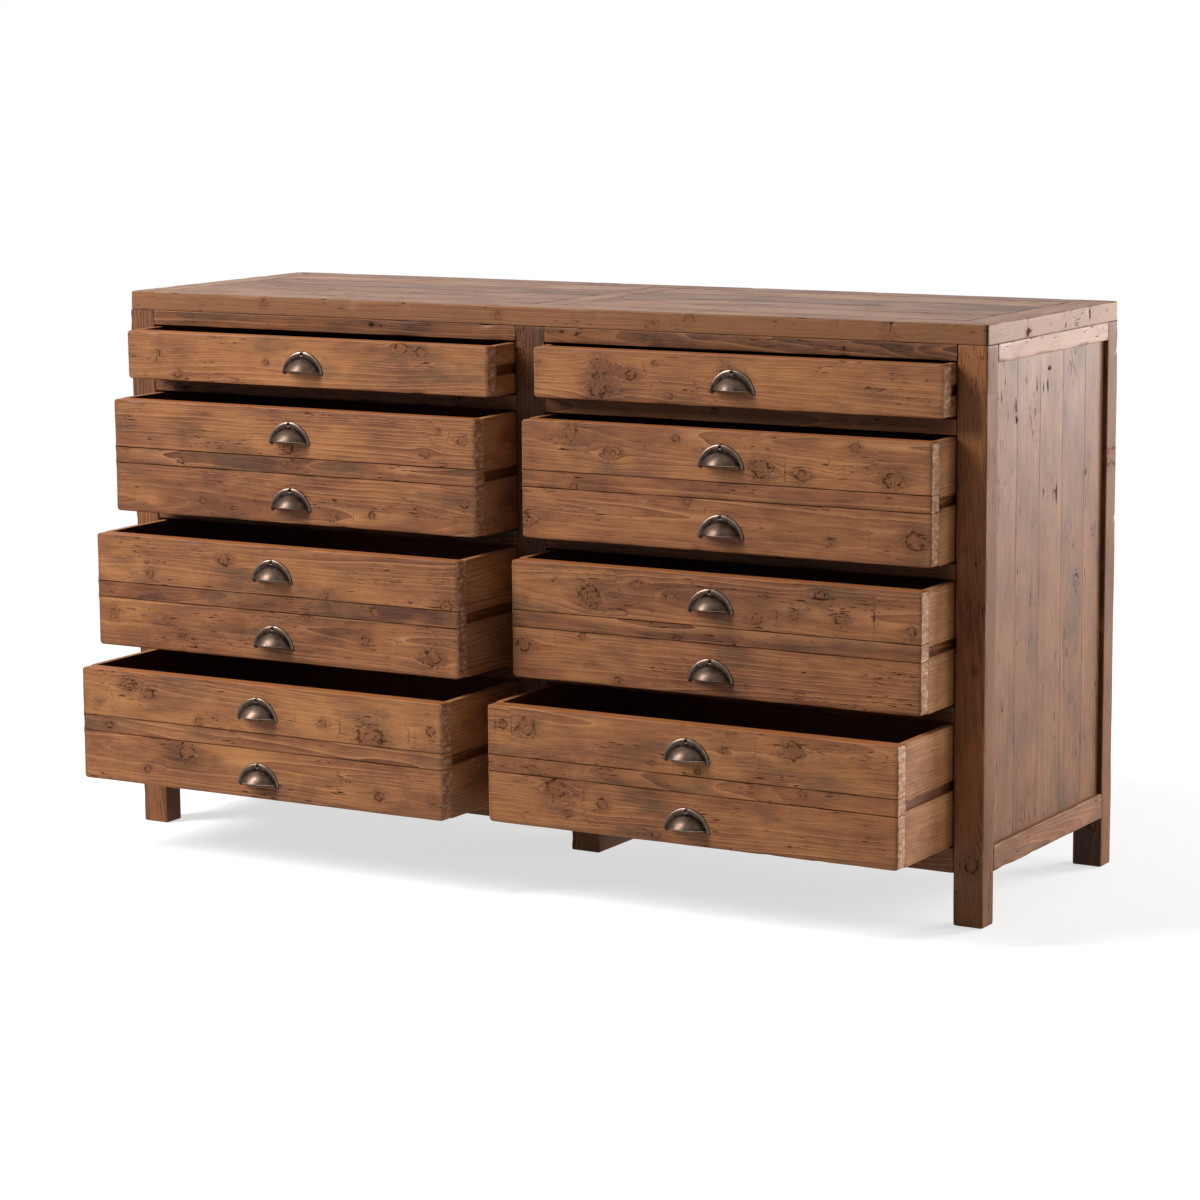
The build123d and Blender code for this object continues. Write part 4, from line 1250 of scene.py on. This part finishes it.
def flange_band():
    """Stations from ear to ear; each joins an inner and an outer point by the crowned section."""
    turn = np.linspace(0, math.pi / 2, 9)[1:]
    first = math.asin(ear_level / arch_radius)
    under = math.asin((ear_level + ball_drop) / under_radius)
    outer, inner = (
        radius * np.stack([np.cos(angle), np.sin(angle)], -1)
        for radius, angle in ((arch_radius, np.linspace(first, math.pi - first, arch_stations)),
                              (under_radius, np.linspace(under, math.pi - under, arch_stations))))
    inner = inner - (0, ball_drop)
    ear = ear_radius * np.stack([np.cos(turn), np.sin(turn)], -1)
    centre = np.array([arch_radius - ear_radius, ear_level])
    ear_out, ear_in = centre + ear * (1, -1), centre + ear * (-1, -1)
    outer = np.vstack([ear_out[::-1], outer, ear_out * (-1, 1)])
    inner = np.vstack([ear_in[::-1], inner, ear_in * (-1, 1)])
    fall = np.concatenate([np.cos(turn)[::-1] ** 0.5, np.ones(arch_stations), np.cos(turn) ** 0.5])
    share = np.array([0.0, 0.0, 0.2, 0.4, 0.6, 0.72, 0.82, 0.9, 0.96, 1.0])
    outside = np.clip((share - crown_share) / (1 - crown_share), 0, 1)
    inside = np.clip((crown_share - share) / crown_share, 0, 1)
    lift = flange_height * (np.sqrt(1 - outside**2) - 0.45 * inside**1.5)
    lift[0] = 0.0
    flat = inner[:, None] + (outer - inner)[:, None] * share[None, :, None]
    height = np.maximum(fall[:, None], 0.02) * lift[None, :]
    rubbed = np.interp(share, (0.0, 0.4, 0.7, 0.85, 0.92, 1.0), (0.0, 0.12, 0.25, 0.55, 0.5, 0.0))
    return np.stack([flat[..., 0], -height, flat[..., 1]], -1), rubbed[None, :]


print("flange stations", flange_band()[0].shape)

# %% Screw and pull
screw_level, slot_half, slot_depth, slot_lean = 36.3, 0.5, 0.3, (0.8, 0.6)


def screw_head():
    """A countersunk slotted head in a raised ring: height dips inside the ring and in the slot."""
    radius = np.array([0.02, 0.8, 1.6, 2.4, 2.9, 3.2, 3.6, 4.0, 4.4])[:, None]
    angle = np.linspace(0, math.tau, 32, endpoint=False)[None, :]
    x, z = radius * np.cos(angle), radius * np.sin(angle)
    height = np.interp(radius, (0, 2.4, 2.9, 3.3, 3.8, 4.4), (2.8, 2.75, 2.65, 3.3, 3.1, 1.2))
    from_slot = np.abs(x * slot_lean[0] + z * slot_lean[1])
    height = np.where((from_slot < slot_half) & (radius < 2.5), height - slot_depth, height)
    rubbed = np.interp(radius, (0, 2.7, 3.1, 3.8, 4.4), (0.0, 0.0, 0.5, 0.45, 0.1))
    return np.stack([x, -height, z + screw_level], -1), rubbed


def pull_parts():
    """All surfaces of one pull, in millimetres about the centre of its arch."""
    dome = np.interp(cup_rise, (0, 0.06, 0.25, 0.6, 0.85, 1.0), (0.15, 0.24, 0.36, 0.4, 0.2, 0.0))
    flanks = np.interp(np.abs(cup_turn), (0, 0.8, 1.0), (1.0, 0.8, 0.1))
    return [
        surface(outer_shell, dome * flanks, flip=True), surface(inner_shell, 0.1),
        surface(tube(bead_path, bead), 0.7, wrap=True),
        surface(*flange_band(), wrap=True, flip=True), surface(*screw_head(), wrap=True),
    ]


print("quads of one pull", sum(len(part["quads"]) for part in pull_parts()))

# %% [markdown]
# ### Cast iron
#
# The pulls are cast iron that was browned and has worn bright where hands and cloths go. The
# hollows stay nearly black. A metal's colour is the colour of its reflection. The grit of the sand
# mould is half a millimetre wide; it is drawn 1.4 mm wide here so that it shows.

# %% Pull metal
def cast_metal(name):
    """Rubbed share plus cloudy noise moves the reflection from dark brown to pale grey."""
    material, add = new_material(name)
    place = add("TexCoord").outputs["Object"]
    cloud = add("TexNoise", place, 120.0, 3.0, 0.6)
    cast = add("TexNoise", place, 700.0, 2.0)
    rubbed = add("Attribute", attribute_name="rubbed").outputs["Fac"]
    level = add("Math", add("Math", cloud, 0.5, **MINUS), 0.5, rubbed, **TIMES_PLUS)
    ramp = add("ValToRGB", level)
    scale = ramp.color_ramp.elements
    scale[0].position, scale[0].color = 0.0, linear("#14100e")
    scale[1].position, scale[1].color = 1.0, linear("#a39c95")
    scale.new(0.38).color = linear("#5c4b40")
    scale.new(0.62).color = linear("#776a5f")
    rough = add("MapRange", level, 0.0, 1.0, 0.42, 0.27)
    bump = add("Bump", named={"Height": cast, "Strength": 0.25, "Distance": 0.0003})
    shader = add("BsdfPrincipled", named={"Base Color": ramp.outputs["Color"], "Metallic": 1.0,
                                          "Roughness": rough, "Normal": bump})
    add("OutputMaterial", shader)
    return material


looks["pull_metal"] = cast_metal("browned_cast_iron")
print("materials", sorted(looks))

# %% Place the pulls
pull_offset = 54.5
for (column, row), opened in open_distance.items():
    drawer = f"drawer_{column}_{row}"
    arch = sum(row_levels[row]) / 2 - (arch_radius + ear_level - ear_radius) / 2
    parts = []
    for offset in (0.0,) if row == 1 else (-pull_offset, pull_offset):
        where = np.array([sum(front_spans[column]) / 2, -half_depth - opened, arch + offset])
        parts += [part | {"points": (part["points"] + where) * MM} for part in pull_parts()]
    piece(f"{drawer}_cup_pulls", parts, f"{drawer}_pulls", "pull_metal", drawer)

# %% [markdown]
# ## Floor and backdrop
#
# A white studio: a pale floor that turns to plain white away from the chest, and a white world
# that only the camera and reflections see at full strength, so that it adds little light.

# %% Floor
def seen_directly(add):
    """1 for camera, glossy and transmission rays, and 0 for the soft light between surfaces."""
    path = add("LightPath")
    seen = add("Math", path.outputs["Is Camera Ray"], path.outputs["Is Glossy Ray"],
               **PLUS, use_clamp=True)
    return add("Math", seen, path.outputs["Is Transmission Ray"], **PLUS, use_clamp=True)


WHITE = (1.0, 1.0, 1.0, 1.0)
floor_radius, floor_corners, floor_level = 30, 96, -0.001
scene = bpy.context.scene
angle = np.linspace(0, math.tau, floor_corners, endpoint=False)
rim = np.stack([floor_radius * np.cos(angle), floor_radius * np.sin(angle),
                np.full(floor_corners, floor_level)], -1)
mesh = bpy.data.meshes.new("studio_floor")
mesh.from_pydata(rim.tolist(), [], [tuple(range(floor_corners))])
floor = bpy.data.objects.new("studio_floor", mesh)
scene.collection.objects.link(floor)
white_floor, add = new_material("white_paper_floor")
seen = seen_directly(add)
paper = add("BsdfDiffuse", linear("#b8b8b8"))
lift = add("Emission", WHITE, add("Math", seen, 0.66, **TIMES))
away = add("VectorMath", add("TexCoord").outputs["Object"], operation="LENGTH")
far = add("MapRange", away, 1.6, 4.0, **SMOOTH)
far = add("Math", far, seen, **TIMES)
lit_paper, plain_white = add("AddShader", paper, lift), add("Emission", WHITE, 1.0)
add("OutputMaterial", add("MixShader", far, lit_paper, plain_white))
floor.data.materials.append(white_floor)
floor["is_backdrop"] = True
print("floor", floor.dimensions[:])

# %% World
world = bpy.data.worlds.new("white_studio")
scene.world = world
world.use_nodes = True
world.node_tree.nodes.clear()
add = functools.partial(node, world.node_tree)
strength = add("MapRange", seen_directly(add), 0.0, 1.0, 0.12, 1.0)
add("OutputWorld", add("Background", WHITE, strength))
print("world nodes", len(world.node_tree.nodes))

# %% [markdown]
# ## Light and camera
#
# A soft box hangs high on the left in front. It shades the rails under the open drawers, leaves
# the insides dark, and shows in the pulls as a highlight over their beads. A second one stands
# behind on the right, where the side of the chest mirrors part of it: that gives the side its pale
# sheen. A weak third one on the right lights the sides of the open drawers.

# %% Lamps
def soft_light(name, place, target, size, power):
    """A soft box at a place in metres, turned to a target."""
    lamp = bpy.data.lights.new(name, "AREA")
    lamp.shape, lamp.size, lamp.size_y, lamp.energy = "RECTANGLE", size[0], size[1], power
    holder = bpy.data.objects.new(name, lamp)
    scene.collection.objects.link(holder)
    holder.location = place
    aim = Vector(target) - Vector(place)
    holder.rotation_euler = aim.to_track_quat("-Z", "Y").to_euler()
    print(name, power, "W", round(aim.length, 2), "m away")


soft_light("key", (-2.75, -2.75, 3.4), (0, -0.2, 0.45), (1.2, 3.0), 350)
soft_light("back right", (3.0, 3.6, 1.3), (0.7, 0.1, 0.6), (1.9, 1.6), 215)
soft_light("right", (4.3, 1.2, 1.2), (0.7, -0.1, 0.6), (1.6, 1.6), 50)

# %% Camera
camera_place = (3.0288, -5.1859, 1.3857)
yaw, pitch, roll = -0.5317, -0.1605, -0.0076
focal_pixels, image_pixels, sensor = 3623.2, 1200, 36.0
level_forward = Vector((math.sin(yaw), math.cos(yaw), 0))
forward = level_forward * math.cos(pitch) + Vector((0, 0, math.sin(pitch)))
level_right = Vector((math.cos(yaw), -math.sin(yaw), 0))
level_up = level_right.cross(forward)
right = math.cos(roll) * level_right + math.sin(roll) * level_up
up = -math.sin(roll) * level_right + math.cos(roll) * level_up
lens = bpy.data.cameras.new("camera")
lens.sensor_width, lens.lens = sensor, focal_pixels / image_pixels * sensor
camera = bpy.data.objects.new("camera", lens)
scene.collection.objects.link(camera)
turn = Matrix((right, up, -forward)).transposed().to_4x4()
camera.matrix_world = Matrix.Translation(camera_place) @ turn
scene.camera = camera
scene.view_settings.view_transform = "Standard"
print("lens", round(lens.lens, 1), "mm")

# %% [markdown]
# ## Finish
#
# The box round the visual model and the number of triangles are printed. The visual
# model has to stay inside the CAD part's box.

# %% Finish
low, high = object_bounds()
print("visual box", [round(value, 4) for value in (*low, *high)])
print("triangles", sum(triangles), "largest piece", max(triangles))
